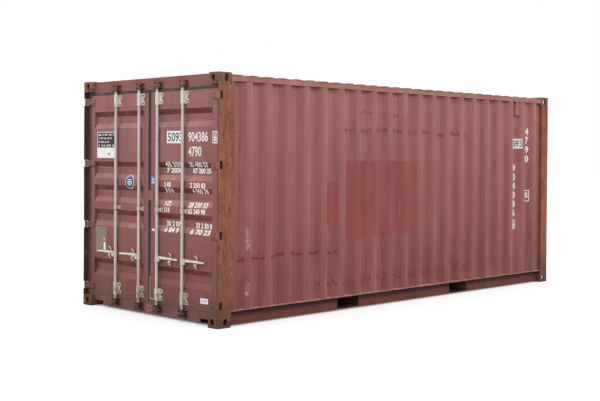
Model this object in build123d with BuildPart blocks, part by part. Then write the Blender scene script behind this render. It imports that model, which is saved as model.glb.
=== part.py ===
from build123d import *
from math import cos, pi, sin
import os

# Shipping container, 20 ft long, general purpose, with two doors at one end.
# Millimetres. Origin at the middle of the underside, Z up, length along Y.
# The doors face -Y. Right means +X, seen from in front of the doors.

os.makedirs("parts", exist_ok=True)

# Outer envelope
WIDTH = 2438.0
LENGTH = 6058.0
HEIGHT = 2591.0
SIDE = WIDTH / 2
END = LENGTH / 2
PROUD = 3.0
PLATE = 6.0
CUT_OVER = 1.0

# Corner castings
CAST_X = 162.0
CAST_Y = 178.0
CAST_Z = 118.0
CAST_PLATE = 28.0
CAST_WALL = 16.0
CAST_CORNER = 9.0
TWIST_X = 89.0
TWIST_Y = 101.5
TWIST_LENGTH = 124.0
TWIST_WIDTH = 63.5
LASH_HEIGHT = 79.0
LASH_WIDTH = 54.0
OVAL_FLATS = 6
POST_LOW = CAST_Z
POST_HIGH = HEIGHT - CAST_Z
CAST_BACK = -END + CAST_Y

# Door posts
DOOR_POST_LEG = 210.0
DOOR_POST_BACK = -END + PROUD + DOOR_POST_LEG
OPENING_HALF = 1170.0
CHANNEL_WEB = -END + 62.0
CHANNEL_THICK = 12.0

# Front posts
FRONT_POST_LEG = 152.0
FRONT_POST_FACE = 159.0
FRONT_POST_LIP = 42.0
FRONT_POST_BACK = END - PROUD - FRONT_POST_LEG

# Hinges
PIN_X = SIDE - 22.0
PIN_Y = -END + 20.0
PIN_RADIUS = 8.0
PIN_FREE = 0.5
PIN_FLATS = 10
KNUCKLE_RADIUS = 15.0
KNUCKLE_FLATS = 16
KNUCKLE_HEIGHT = 76.0
KNUCKLE_GAP = 1.0
EAR_HALF = SIDE - PROUD - PLATE - PIN_X
EAR_CORNER = 8.0
EAR_THICK = 12.0
NOTCH_HEIGHT = 82.0
BLADE_HEIGHT = 66.0
BLADE_THICK = 12.0
BLADE_ON_DOOR = 85.0
BLADE_FRONT = (12.0, 6.0)
BLADE_FRONT_BEND = 37.0
BLADE_BACK = (9.0, 9.0)
BLADE_BACK_BEND = 21.0
HINGE_LOW = 230.0
HINGE_PITCH = 710.0
HINGE_COUNT = 4
HINGES = [HINGE_LOW + HINGE_PITCH * k for k in range(HINGE_COUNT)]

# Door leaves
LEAF_FACE = PIN_Y + 32.0
LEAF_DEPTH = 50.0
LEAF_OUTER = 1142.0
LEAF_INNER = 24.0
LEAF_LOW = 185.0
LEAF_HIGH = 2428.0
STILE = 80.0
STILE_WALL = 3.2
RAIL = 143.0
DOOR_SHEET = 2.0
TROUGH_TOPS = [2240.0, 1672.0, 1406.0, 1127.0, 558.0]
TROUGH_SLOPE = 57.0
TROUGH_FLOOR = 78.0
TROUGH_DEPTH = 36.0
GASKET_IN = 4.5
GASKET_OUT = 1160.0
GASKET_HIGH = 2456.0
GASKET_LOW = 154.0
GASKET_SET_BACK = 8.0
GASKET_THICK = 22.0

# Door header and sill
BEAM_FACE = LEAF_FACE + 4.0
BEAM_HALF = SIDE - CAST_X
BEAM_JOINT = 1.0
BEAM_END = BEAM_HALF + BEAM_JOINT
HEADER_LOW = 2462.0
HEADER_HIGH = 2585.0
HEADER_DEPTH = 100.0
BEAM_WALL = 4.0
SILL_LOW = 20.0
SILL_HIGH = 148.0
SILL_DEPTH = 130.0
RECESS_LENGTH = 180.0
RECESS_HEIGHT = 48.0

# Lock rods and their keepers
ROD_RADIUS = 17.0
ROD_FREE = 0.5
ROD_X = [-605.0, -165.0, 165.0, 605.0]
ROD_Y = LEAF_FACE - 24.0
CAM_LOW = 88.0
CAM_HIGH = 2500.0
CAM_HALF = 11.0
CAM_LOBE = [(0.0, -15.0), (39.0, -11.0), (47.0, -3.0), (47.0, 8.0), (0.0, 15.0)]
BOSS_RADIUS = 18.0
BOSS_OUT = 34.0
BOSS_IN = 46.0
ROUND_FLATS = 12
KEEPER_FACE = BEAM_FACE - PLATE
KEEPER_HALF = 58.0
KEEPER_RISE = 34.0
CHEEK_OFFSET = 17.0
CHEEK_THICK = 17.0
CHEEK_OUTLINE = [(26.0, 0.0), (26.0, -27.0), (34.0, -39.0), (46.0, -39.0), (56.0, -27.0), (56.0, 0.0)]

# Handles, their forked hubs and their catches
HANDLE_Z = 632.0
HANDLE_THICK = 12.0
HANDLE_MID = ROD_Y - 3.0
HANDLE_PIVOT = 34.0
HANDLE_OUTLINE = [
    (24.0, 8.0), (34.0, 14.0), (60.0, 30.0), (120.0, 30.0), (250.0, 26.0), (355.0, 20.0), (365.0, 12.0),
    (355.0, 3.0), (250.0, 4.0), (120.0, 2.0), (70.0, 2.0), (48.0, -10.0), (34.0, -13.0), (24.0, -8.0),
]
EYE_RADIUS = 6.0
EYE_PIN = 5.5
EYE_FLATS = 8
HUB_RADIUS = 21.0
HUB_HALF = 33.0
FORK_THICK = 7.0
FORK_GAP = 1.0
FORK_OUTLINE = [(18.0, -33.0), (46.0, -33.0), (60.0, -19.0), (60.0, 19.0), (46.0, 33.0), (18.0, 33.0)]
CATCH_PLACE = {"right": 225.0, "left": 115.0}
CATCH_HALF = 28.0
CATCH_LOW = HANDLE_Z - 57.0
CATCH_HIGH = HANDLE_Z + 79.0
CATCH_LIP = 10.0
CATCH_BACK = 5.0
CATCH_FRONT = 38.0
HOOK_HALF = 14.0
HOOK_LOW = HANDLE_Z + 62.0
HOOK_THICK = 5.0
LEDGE_HALF = 16.0
LEDGE_HIGH = HANDLE_Z - 4.0
TAB_LOW = HANDLE_Z - 47.0

# Brackets and middle guides that hold the rods to the doors
SADDLE_RADIUS = 23.5
SADDLE_BORE = ROD_RADIUS + ROD_FREE
SADDLE_FLATS = 8
SADDLE_HEIGHT = 136.0
BRACKET_LOW = 246.0
BRACKET_HIGH = 2356.0
BRACKET_BACK = 5.0
BRACKET_OUTLINE = [
    (-23.5, -68.0), (24.0, -68.0), (34.0, -60.0), (73.0, -60.0), (73.0, -22.0), (52.0, -14.0),
    (52.0, 14.0), (73.0, 22.0), (73.0, 60.0), (34.0, 60.0), (24.0, 68.0), (-23.5, 68.0),
]
GUIDE_Z = 1161.0
GUIDE_HEIGHT = 42.0
GUIDE_OUTLINE = [
    (-62.0, -13.0), (-54.0, -21.0), (76.0, -21.0), (76.0, -6.0), (42.0, -6.0),
    (42.0, 6.0), (76.0, 6.0), (76.0, 21.0), (-54.0, 21.0), (-62.0, 13.0),
]

# Small fittings at the seam of the right door
LAP_X = (3.0, 72.0)
LAP_Z = (1258.0, 1364.0)
STAY_X = 27.0
STAY_REACH = 98.0
STAY_HIGH = 432.0
STAY_LOW = 188.0
STAY_RADIUS = 6.0
STAY_BEND = 14.0
STAY_FLATS = 6

# Body sheets
WALL_SHEET = 2.0
WALL_OUT = 1213.0
WALL_DEPTH = 36.0
WALL_PITCH = 279.0
WALL_SLOPE = 68.0
WALL_RECESS = 70.0
WALL_FIRST = -2580.0
WALL_BAYS = 19
FRONT_OUT = 3018.0
FRONT_DEPTH = 45.0
FRONT_PITCH = 250.0
FRONT_SLOPE = 18.0
FRONT_RECESS = 104.0
FRONT_BAYS = 8
ROOF_LOW = 2567.0
ROOF_DEPTH = 9.0
ROOF_PITCH = 209.0
ROOF_SLOPE = 14.0
ROOF_FACE = 91.0
ROOF_BAYS = 26
ROOF_HALF = SIDE - 43.0

# Vents: a bent cover over the holes near the top of each side wall
VENT_BAY = 17
VENT_START = 76.0
VENT_END = 202.0
VENT_LOW = 2316.0
VENT_FACE = WALL_OUT - 2.0
VENT_SEAT = WALL_OUT - WALL_DEPTH + WALL_SHEET

# Rails
TOP_RAIL = 60.0
TOP_RAIL_WALL = 3.0
TOP_RAIL_LOW = ROOF_LOW - TOP_RAIL
FRONT_RAIL_Y = FRONT_OUT - 30.5
RAIL_TOP = 165.0
RAIL_LOW = 12.5
RAIL_WALL = 4.5
RAIL_FACE = 1158.0
RAIL_FLANGE = 30.0
RAIL_LIP = SIDE - PROUD
FRONT_FLANGE = 70.0

# Floor, cross members and fork pockets
FLOOR_LOW = 140.0
FLOOR_THICK = 28.0
FLOOR_JOINT = 2.0
MEMBER_REACH = RAIL_FACE - RAIL_WALL
MEMBER_LOW = RAIL_LOW + RAIL_WALL
MEMBER_FLANGE = 45.0
MEMBER_WALL = 4.0
MEMBER_LAST = END - CAST_Y - 120.0
MIDDLE_BAYS = 3
OUTER_MEMBERS = 5
POCKET_CENTRE = 1037.0
POCKET_WIDTH = 362.0
POCKET_HIGH = FLOOR_LOW - 3.0
POCKET_STRAP = 200.0
POCKETS = (-POCKET_CENTRE, POCKET_CENTRE)

SIDES = {"right": 1, "left": -1}
CORNERS = [(x, y) for x in (1, -1) for y in (1, -1)]


def keep(piece, node):
    piece.part.label = node
    export_step(piece.part, f"parts/{node}.step")


def block(x, y, z, mode=Mode.ADD):
    # A box between two values on each axis, inside the part being built.
    low = [min(pair) for pair in (x, y, z)]
    high = [max(pair) for pair in (x, y, z)]
    centre = [(a + b) / 2 for a, b in zip(low, high)]
    with Locations(tuple(centre)):
        Box(*[b - a for a, b in zip(low, high)], mode=mode)


def plate(plane, outline, thickness, mode=Mode.ADD):
    # A flat piece with the given outline, raised from its plane.
    with BuildSketch(plane) as flat:
        with BuildLine():
            Polyline(outline, close=True)
        make_face()
    extrude(flat.sketch, amount=thickness, mode=mode)


def level(z):
    return Plane.XY.offset(z)


def facing_out(y):
    # A plane across the container at y: X stays X, its second axis is Z.
    return Plane.XZ.offset(-y)


def placed(outline, s, u, v):
    # An outline moved to (u, v), with its first axis turned to side s.
    return [(u + s * a, v + b) for a, b in outline]


def oval(u, v, length, width):
    # The outline of a long hole about (u, v): two straight sides and two half rounds.
    radius = width / 2
    reach = length / 2 - radius
    points = []
    for end in (1, -1):
        for k in range(OVAL_FLATS + 1):
            turn = pi * k / OVAL_FLATS
            points.append((u + end * radius * cos(turn), v + end * (reach + radius * sin(turn))))
    return points


def wave(start, stop, first, pitch, slope, floor, bays, high, low):
    # The bends of a folded sheet: flat at high, with bays pressed to low.
    points = [(start, high)]
    for k in range(bays):
        at = first + pitch * k
        points += [(at, high), (at + slope, low)]
        points += [(at + slope + floor, low), (at + 2 * slope + floor, high)]
    return points + [(stop, high)]


def sheet_outline(bends, thickness):
    # The closed outline of a folded sheet from the bends of one face.
    return bends + [(u, v + thickness) for u, v in reversed(bends)]


def half_round(x, radius):
    # The half of a circle round the lock rod at x that faces away from the door, in flats.
    turns = [pi * k / SADDLE_FLATS for k in range(SADDLE_FLATS + 1)]
    return [(x - radius * cos(turn), ROD_Y - radius * sin(turn)) for turn in turns]


def saddle(x, z, height):
    # A strap over a lock rod: a U round the rod, open towards the door.
    bore = SADDLE_BORE / cos(pi / (2 * SADDLE_FLATS))
    outline = [(x - SADDLE_RADIUS, LEAF_FACE)] + half_round(x, SADDLE_RADIUS)
    outline += [(x + SADDLE_RADIUS, LEAF_FACE), (x + bore, LEAF_FACE)]
    outline += half_round(x, bore)[::-1] + [(x - bore, LEAF_FACE)]
    plate(level(z - height / 2), outline, height)


# Corner castings: hollow blocks with an oval in the top or bottom and one in each outer face
for name, outer_z, sz in (("top", HEIGHT, 1), ("bottom", 0.0, -1)):
    inner_z = outer_z - sz * CAST_Z
    mid_z = (outer_z + inner_z) / 2
    with BuildPart() as castings:
        for sx, sy in CORNERS:
            inner_x = sx * (SIDE - CAST_X)
            inner_y = sy * (END - CAST_Y)
            hole_x = sx * (SIDE - TWIST_X)
            hole_y = sy * (END - TWIST_Y)
            with BuildSketch(level(outer_z)) as outline:
                with Locations((sx * (SIDE - CAST_X / 2), sy * (END - CAST_Y / 2))):
                    Rectangle(CAST_X, CAST_Y)
                chamfer(outline.vertices(), CAST_CORNER)
            extrude(amount=-sz * CAST_Z)
            block(
                (sx * (SIDE - CAST_WALL), inner_x + sx * CAST_WALL),
                (sy * (END - CAST_WALL), inner_y + sy * CAST_WALL),
                (outer_z - sz * CAST_PLATE, inner_z + sz * CAST_WALL),
                mode=Mode.SUBTRACT,
            )
            twist_hole = oval(hole_x, hole_y, TWIST_LENGTH, TWIST_WIDTH)
            plate(level(outer_z), twist_hole, -sz * (CAST_PLATE + CUT_OVER), Mode.SUBTRACT)
            side_hole = oval(hole_y, mid_z, LASH_HEIGHT, LASH_WIDTH)
            plate(Plane.YZ.offset(sx * SIDE), side_hole, -sx * (CAST_WALL + CUT_OVER), Mode.SUBTRACT)
            end_hole = oval(hole_x, mid_z, LASH_HEIGHT, LASH_WIDTH)
            plate(facing_out(sy * END), end_hole, sy * (CAST_WALL + CUT_OVER), Mode.SUBTRACT)
    keep(castings, f"castings_{name}")

# Door posts: a pressed outer plate, notched at the hinges, and an inner channel open to the front.
# Behind the castings the post runs from the bottom rail up to the top rail.
with BuildPart() as door_posts:
    for s in SIDES.values():
        face = SIDE - PROUD
        front = -END + PROUD
        inner = face - PLATE
        shell = [
            (s * face, front),
            (s * face, DOOR_POST_BACK),
            (s * OPENING_HALF, DOOR_POST_BACK),
            (s * OPENING_HALF, CHANNEL_WEB),
            (s * inner, CHANNEL_WEB),
            (s * inner, front),
        ]
        hollow = [
            (s * inner, CHANNEL_WEB + CHANNEL_THICK),
            (s * inner, DOOR_POST_BACK - PLATE),
            (s * (OPENING_HALF + CHANNEL_THICK), DOOR_POST_BACK - PLATE),
            (s * (OPENING_HALF + CHANNEL_THICK), CHANNEL_WEB + CHANNEL_THICK),
        ]
        plate(level(POST_LOW), shell, POST_HIGH - POST_LOW)
        plate(level(POST_LOW), hollow, POST_HIGH - POST_LOW, Mode.SUBTRACT)
        for z in HINGES:
            notch = (z - NOTCH_HEIGHT / 2, z + NOTCH_HEIGHT / 2)
            block((s * inner, s * face), (front, CHANNEL_WEB), notch, mode=Mode.SUBTRACT)
        block(
            (s * face, s * OPENING_HALF),
            (CAST_BACK, DOOR_POST_BACK),
            (POST_LOW, RAIL_TOP),
            mode=Mode.SUBTRACT,
        )
        head = [
            (s * face, CAST_BACK),
            (s * face, DOOR_POST_BACK),
            (s * OPENING_HALF, DOOR_POST_BACK),
            (s * OPENING_HALF, DOOR_POST_BACK - PLATE),
            (s * inner, DOOR_POST_BACK - PLATE),
            (s * inner, CAST_BACK),
        ]
        plate(level(POST_HIGH), head, TOP_RAIL_LOW - POST_HIGH)
keep(door_posts, "door_posts")

# Hinge lugs: an ear above and below each knuckle, joined by the hinge pin
ear_outline = [
    (-EAR_HALF, CHANNEL_WEB - PIN_Y),
    (-EAR_HALF, EAR_CORNER - EAR_HALF),
    (EAR_CORNER - EAR_HALF, -EAR_HALF),
    (EAR_HALF - EAR_CORNER, -EAR_HALF),
    (EAR_HALF, EAR_CORNER - EAR_HALF),
    (EAR_HALF, CHANNEL_WEB - PIN_Y),
]
with BuildPart() as lugs:
    ear_reach = KNUCKLE_HEIGHT / 2 + KNUCKLE_GAP
    for s in SIDES.values():
        for z in HINGES:
            for ear_z in (z - ear_reach - EAR_THICK, z + ear_reach):
                plate(level(ear_z), placed(ear_outline, s, s * PIN_X, PIN_Y), EAR_THICK)
            with BuildSketch(level(z - ear_reach)):
                with Locations((s * PIN_X, PIN_Y)):
                    RegularPolygon(PIN_RADIUS, PIN_FLATS)
            extrude(amount=2 * ear_reach)
keep(lugs, "hinge_lugs")

# Front posts: one pressed angle with lips, open to the inside
with BuildPart() as front_posts:
    for s in SIDES.values():
        face = SIDE - PROUD
        front = END - PROUD
        inner = face - FRONT_POST_FACE
        angle = [
            (s * face, FRONT_POST_BACK),
            (s * face, front),
            (s * inner, front),
            (s * inner, front - FRONT_POST_LIP),
            (s * (inner + PLATE), front - FRONT_POST_LIP),
            (s * (inner + PLATE), front - PLATE),
            (s * (face - PLATE), front - PLATE),
            (s * (face - PLATE), FRONT_POST_BACK + PLATE),
            (s * (face - FRONT_POST_LIP), FRONT_POST_BACK + PLATE),
            (s * (face - FRONT_POST_LIP), FRONT_POST_BACK),
        ]
        plate(level(POST_LOW), angle, POST_HIGH - POST_LOW)
keep(front_posts, "front_posts")

# Door header: a closed box beam between the top castings, and a bent plate under each of them
with BuildPart() as header:
    with BuildSketch(Plane.YZ.offset(-BEAM_HALF)):
        with Locations((BEAM_FACE + HEADER_DEPTH / 2, (HEADER_LOW + HEADER_HIGH) / 2)):
            Rectangle(HEADER_DEPTH, HEADER_HIGH - HEADER_LOW)
            Rectangle(
                HEADER_DEPTH - 2 * BEAM_WALL,
                HEADER_HIGH - HEADER_LOW - 2 * BEAM_WALL,
                mode=Mode.SUBTRACT,
            )
    extrude(amount=2 * BEAM_HALF)
    lip = [
        (BEAM_FACE, HEADER_LOW),
        (BEAM_FACE + HEADER_DEPTH, HEADER_LOW),
        (BEAM_FACE + HEADER_DEPTH, HEADER_LOW + BEAM_WALL),
        (BEAM_FACE + BEAM_WALL, HEADER_LOW + BEAM_WALL),
        (BEAM_FACE + BEAM_WALL, POST_HIGH),
        (BEAM_FACE, POST_HIGH),
    ]
    for s in SIDES.values():
        plate(Plane.YZ.offset(s * BEAM_END), lip, s * (OPENING_HALF - BEAM_END))
keep(header, "door_header")

# Door sill: a channel open to the inside, cut away underneath beside the bottom castings,
# and a bent plate over each of them
with BuildPart() as sill:
    with BuildSketch(Plane.YZ.offset(-BEAM_HALF)):
        with Locations((BEAM_FACE + SILL_DEPTH / 2, (SILL_LOW + SILL_HIGH) / 2)):
            Rectangle(SILL_DEPTH, SILL_HIGH - SILL_LOW)
        with Locations((BEAM_FACE + (SILL_DEPTH + PLATE) / 2, (SILL_LOW + SILL_HIGH) / 2)):
            Rectangle(SILL_DEPTH - PLATE, SILL_HIGH - SILL_LOW - 2 * PLATE, mode=Mode.SUBTRACT)
    extrude(amount=2 * BEAM_HALF)
    for s in SIDES.values():
        block(
            (s * (BEAM_HALF - RECESS_LENGTH), s * BEAM_HALF),
            (BEAM_FACE, BEAM_FACE + SILL_DEPTH),
            (SILL_LOW, SILL_LOW + RECESS_HEIGHT),
            mode=Mode.SUBTRACT,
        )
        lip = [
            (BEAM_FACE, POST_LOW),
            (BEAM_FACE + PLATE, POST_LOW),
            (BEAM_FACE + PLATE, SILL_HIGH - PLATE),
            (CAST_BACK, SILL_HIGH - PLATE),
            (CAST_BACK, SILL_HIGH),
            (BEAM_FACE, SILL_HIGH),
        ]
        plate(Plane.YZ.offset(s * BEAM_END), lip, s * (OPENING_HALF - BEAM_END))
keep(sill, "door_sill")

# Front end rails: a square tube above and a channel below
with BuildPart() as front_rails:
    with BuildSketch(Plane.YZ.offset(-BEAM_HALF)):
        with Locations((FRONT_RAIL_Y, ROOF_LOW - TOP_RAIL / 2)):
            Rectangle(TOP_RAIL, TOP_RAIL)
            Rectangle(TOP_RAIL - 2 * TOP_RAIL_WALL, TOP_RAIL - 2 * TOP_RAIL_WALL, mode=Mode.SUBTRACT)
    extrude(amount=2 * BEAM_HALF)
    front = END - PROUD
    channel = [
        (front, RAIL_LOW),
        (front, RAIL_TOP),
        (front - FRONT_FLANGE, RAIL_TOP),
        (front - FRONT_FLANGE, RAIL_TOP - PLATE),
        (front - PLATE, RAIL_TOP - PLATE),
        (front - PLATE, RAIL_LOW + PLATE),
        (front - FRONT_FLANGE, RAIL_LOW + PLATE),
        (front - FRONT_FLANGE, RAIL_LOW),
    ]
    plate(Plane.YZ.offset(-BEAM_HALF), channel, 2 * BEAM_HALF)
keep(front_rails, "front_rails")

# Top side rails: square tubes between the top castings
with BuildPart() as top_rails:
    for s in SIDES.values():
        with BuildSketch(facing_out(END - CAST_Y)):
            with Locations((s * (SIDE - PROUD - TOP_RAIL / 2), ROOF_LOW - TOP_RAIL / 2)):
                Rectangle(TOP_RAIL, TOP_RAIL)
                Rectangle(TOP_RAIL - 2 * TOP_RAIL_WALL, TOP_RAIL - 2 * TOP_RAIL_WALL, mode=Mode.SUBTRACT)
        extrude(amount=2 * (END - CAST_Y))
keep(top_rails, "top_side_rails")

# Bottom side rails: the web stands well in, a lip above it reaches out under the wall,
# a foot below it turns in under the cross members. Two fork pockets are cut through it.
with BuildPart() as bottom_rails:
    for s in SIDES.values():
        section = [
            (s * RAIL_LIP, RAIL_TOP),
            (s * (RAIL_FACE - RAIL_WALL), RAIL_TOP),
            (s * (RAIL_FACE - RAIL_WALL), RAIL_LOW + RAIL_WALL),
            (s * (RAIL_FACE - RAIL_FLANGE), RAIL_LOW + RAIL_WALL),
            (s * (RAIL_FACE - RAIL_FLANGE), RAIL_LOW),
            (s * RAIL_FACE, RAIL_LOW),
            (s * RAIL_FACE, RAIL_TOP - RAIL_WALL),
            (s * RAIL_LIP, RAIL_TOP - RAIL_WALL),
        ]
        plate(facing_out(FRONT_POST_BACK), section, FRONT_POST_BACK + END - CAST_Y)
        across = (s * RAIL_FACE, s * (RAIL_FACE - RAIL_FLANGE))
        block(across, (END - CAST_Y, FRONT_POST_BACK), (RAIL_LOW, POST_LOW), mode=Mode.SUBTRACT)
        for y in POCKETS:
            span = (y - POCKET_WIDTH / 2, y + POCKET_WIDTH / 2)
            block(across, span, (RAIL_LOW, POCKET_HIGH), mode=Mode.SUBTRACT)
keep(bottom_rails, "bottom_side_rails")

# Side walls: folded sheet between the posts, standing on the bottom rail.
# It meets each post at the depth of its recesses.
wall_high = WALL_OUT - WALL_SHEET
wall_low = WALL_OUT - WALL_DEPTH
first_crest = WALL_FIRST - (WALL_PITCH - 2 * WALL_SLOPE - WALL_RECESS)
last_crest = WALL_FIRST + WALL_PITCH * WALL_BAYS
wall_bends = [(DOOR_POST_BACK, wall_low), (first_crest - WALL_SLOPE, wall_low)]
wall_bends += wave(
    first_crest, last_crest, WALL_FIRST, WALL_PITCH, WALL_SLOPE, WALL_RECESS, WALL_BAYS,
    wall_high, wall_low,
)
wall_bends += [(last_crest + WALL_SLOPE, wall_low), (FRONT_POST_BACK, wall_low)]
with BuildPart() as side_walls:
    for s in SIDES.values():
        outline = [(s * v, u) for u, v in sheet_outline(wall_bends, WALL_SHEET)]
        plate(level(RAIL_TOP), outline, TOP_RAIL_LOW - RAIL_TOP)
        block(
            (s * SIDE, s * wall_low),
            (END - CAST_Y, FRONT_POST_BACK),
            (POST_HIGH, TOP_RAIL_LOW),
            mode=Mode.SUBTRACT,
        )
keep(side_walls, "side_walls")

# Wall vents: a cover flush with the folds, closed towards the doors and open below.
# One leg stands in the recess, and the other edge meets the recess's far slope.
with BuildPart() as vents:
    bay = WALL_FIRST + WALL_PITCH * VENT_BAY
    for s in SIDES.values():
        cover = [
            (s * VENT_SEAT, bay + VENT_START),
            (s * VENT_FACE, bay + VENT_START),
            (s * VENT_FACE, bay + VENT_END),
            (s * (VENT_FACE - WALL_SHEET), bay + VENT_END - 2 * WALL_SHEET),
            (s * (VENT_FACE - WALL_SHEET), bay + VENT_START + WALL_SHEET),
            (s * VENT_SEAT, bay + VENT_START + WALL_SHEET),
        ]
        plate(level(VENT_LOW), cover, TOP_RAIL_LOW - VENT_LOW)
keep(vents, "wall_vents")

# Front wall: folded sheet between the front posts
front_edge = SIDE - PROUD - FRONT_POST_FACE
front_first = -(FRONT_PITCH * FRONT_BAYS - (FRONT_PITCH - 2 * FRONT_SLOPE - FRONT_RECESS)) / 2
front_bends = wave(
    -front_edge, front_edge, front_first, FRONT_PITCH, FRONT_SLOPE, FRONT_RECESS, FRONT_BAYS,
    FRONT_OUT - WALL_SHEET, FRONT_OUT - FRONT_DEPTH,
)
with BuildPart() as front_wall:
    plate(level(RAIL_TOP), sheet_outline(front_bends, WALL_SHEET), TOP_RAIL_LOW - RAIL_TOP)
keep(front_wall, "front_wall")

# Roof: one folded sheet, welded on top of the rails, its folds closed along both sides
roof_step = FRONT_RAIL_Y - TOP_RAIL / 2
roof_bends = wave(
    BEAM_FACE + HEADER_DEPTH, roof_step - ROOF_SLOPE, (ROOF_FACE - ROOF_PITCH * ROOF_BAYS) / 2,
    ROOF_PITCH, ROOF_SLOPE, ROOF_FACE, ROOF_BAYS, ROOF_LOW + ROOF_DEPTH, ROOF_LOW,
)
roof_bends += [(roof_step, ROOF_LOW), (roof_step + TOP_RAIL, ROOF_LOW)]
fold_ends = [(y, z + WALL_SHEET) for y, z in roof_bends]
fold_ends += [(roof_step + TOP_RAIL, ROOF_LOW), (BEAM_FACE + HEADER_DEPTH, ROOF_LOW)]
with BuildPart() as roof:
    plate(Plane.YZ.offset(-ROOF_HALF), sheet_outline(roof_bends, WALL_SHEET), 2 * ROOF_HALF)
    for s in SIDES.values():
        plate(Plane.YZ.offset(s * ROOF_HALF), fold_ends, -s * WALL_SHEET)
    for sx, sy in CORNERS:
        block(
            (sx * BEAM_HALF, sx * SIDE),
            (sy * (END - CAST_Y), sy * END),
            (ROOF_LOW, HEIGHT),
            mode=Mode.SUBTRACT,
        )
keep(roof, "roof")

# Floor: plywood over the cross members
with BuildPart() as floor:
    block(
        (-MEMBER_REACH, MEMBER_REACH),
        (BEAM_FACE + SILL_DEPTH + FLOOR_JOINT, END - PROUD - FRONT_FLANGE - FLOOR_JOINT),
        (FLOOR_LOW, FLOOR_LOW + FLOOR_THICK),
    )
keep(floor, "floor")

# Cross members: channels on edge under the floor, one along each flank of the fork pockets
inner_flank = POCKET_CENTRE - POCKET_WIDTH / 2
outer_flank = POCKET_CENTRE + POCKET_WIDTH / 2
middle = [inner_flank * k / MIDDLE_BAYS for k in range(1 - MIDDLE_BAYS, MIDDLE_BAYS)]
outer_gap = (MEMBER_LAST - outer_flank) / OUTER_MEMBERS
outer = [outer_flank + outer_gap * k for k in range(1, OUTER_MEMBERS + 1)]
members = [(y, 1) for y in middle + outer] + [(-y, -1) for y in outer]
members += [(outer_flank, 1), (-outer_flank, -1), (inner_flank, -1), (-inner_flank, 1)]
with BuildPart() as cross_members:
    for y, turn in members:
        section = [
            (y, MEMBER_LOW),
            (y, FLOOR_LOW),
            (y + turn * MEMBER_FLANGE, FLOOR_LOW),
            (y + turn * MEMBER_FLANGE, FLOOR_LOW - MEMBER_WALL),
            (y + turn * MEMBER_WALL, FLOOR_LOW - MEMBER_WALL),
            (y + turn * MEMBER_WALL, MEMBER_LOW + MEMBER_WALL),
            (y + turn * MEMBER_FLANGE, MEMBER_LOW + MEMBER_WALL),
            (y + turn * MEMBER_FLANGE, MEMBER_LOW),
        ]
        plate(Plane.YZ.offset(-MEMBER_REACH), section, 2 * MEMBER_REACH)
keep(cross_members, "cross_members")

# Fork pockets: a plate over each pocket and a strap under each end of it
with BuildPart() as pockets:
    for y in POCKETS:
        span = (y - POCKET_WIDTH / 2, y + POCKET_WIDTH / 2)
        block((-MEMBER_REACH, MEMBER_REACH), span, (POCKET_HIGH, FLOOR_LOW))
        for s in SIDES.values():
            strap = (s * MEMBER_REACH, s * (MEMBER_REACH - POCKET_STRAP))
            block(strap, span, (MEMBER_LOW, MEMBER_LOW + MEMBER_WALL))
keep(pockets, "fork_pockets")

# Lock keepers: a plate with four cheeks at each end of each rod
with BuildPart() as keepers:
    for x in ROD_X:
        for z in (CAM_LOW, CAM_HIGH):
            block(
                (x - KEEPER_HALF, x + KEEPER_HALF),
                (BEAM_FACE, KEEPER_FACE),
                (z - KEEPER_RISE, z + KEEPER_RISE),
            )
            for s in SIDES.values():
                cheek = placed(CHEEK_OUTLINE, s, x, KEEPER_FACE)
                for low in (z + CHEEK_OFFSET, z - CHEEK_OFFSET - CHEEK_THICK):
                    plate(level(low), cheek, CHEEK_THICK)
keep(keepers, "lock_keepers")

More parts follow.
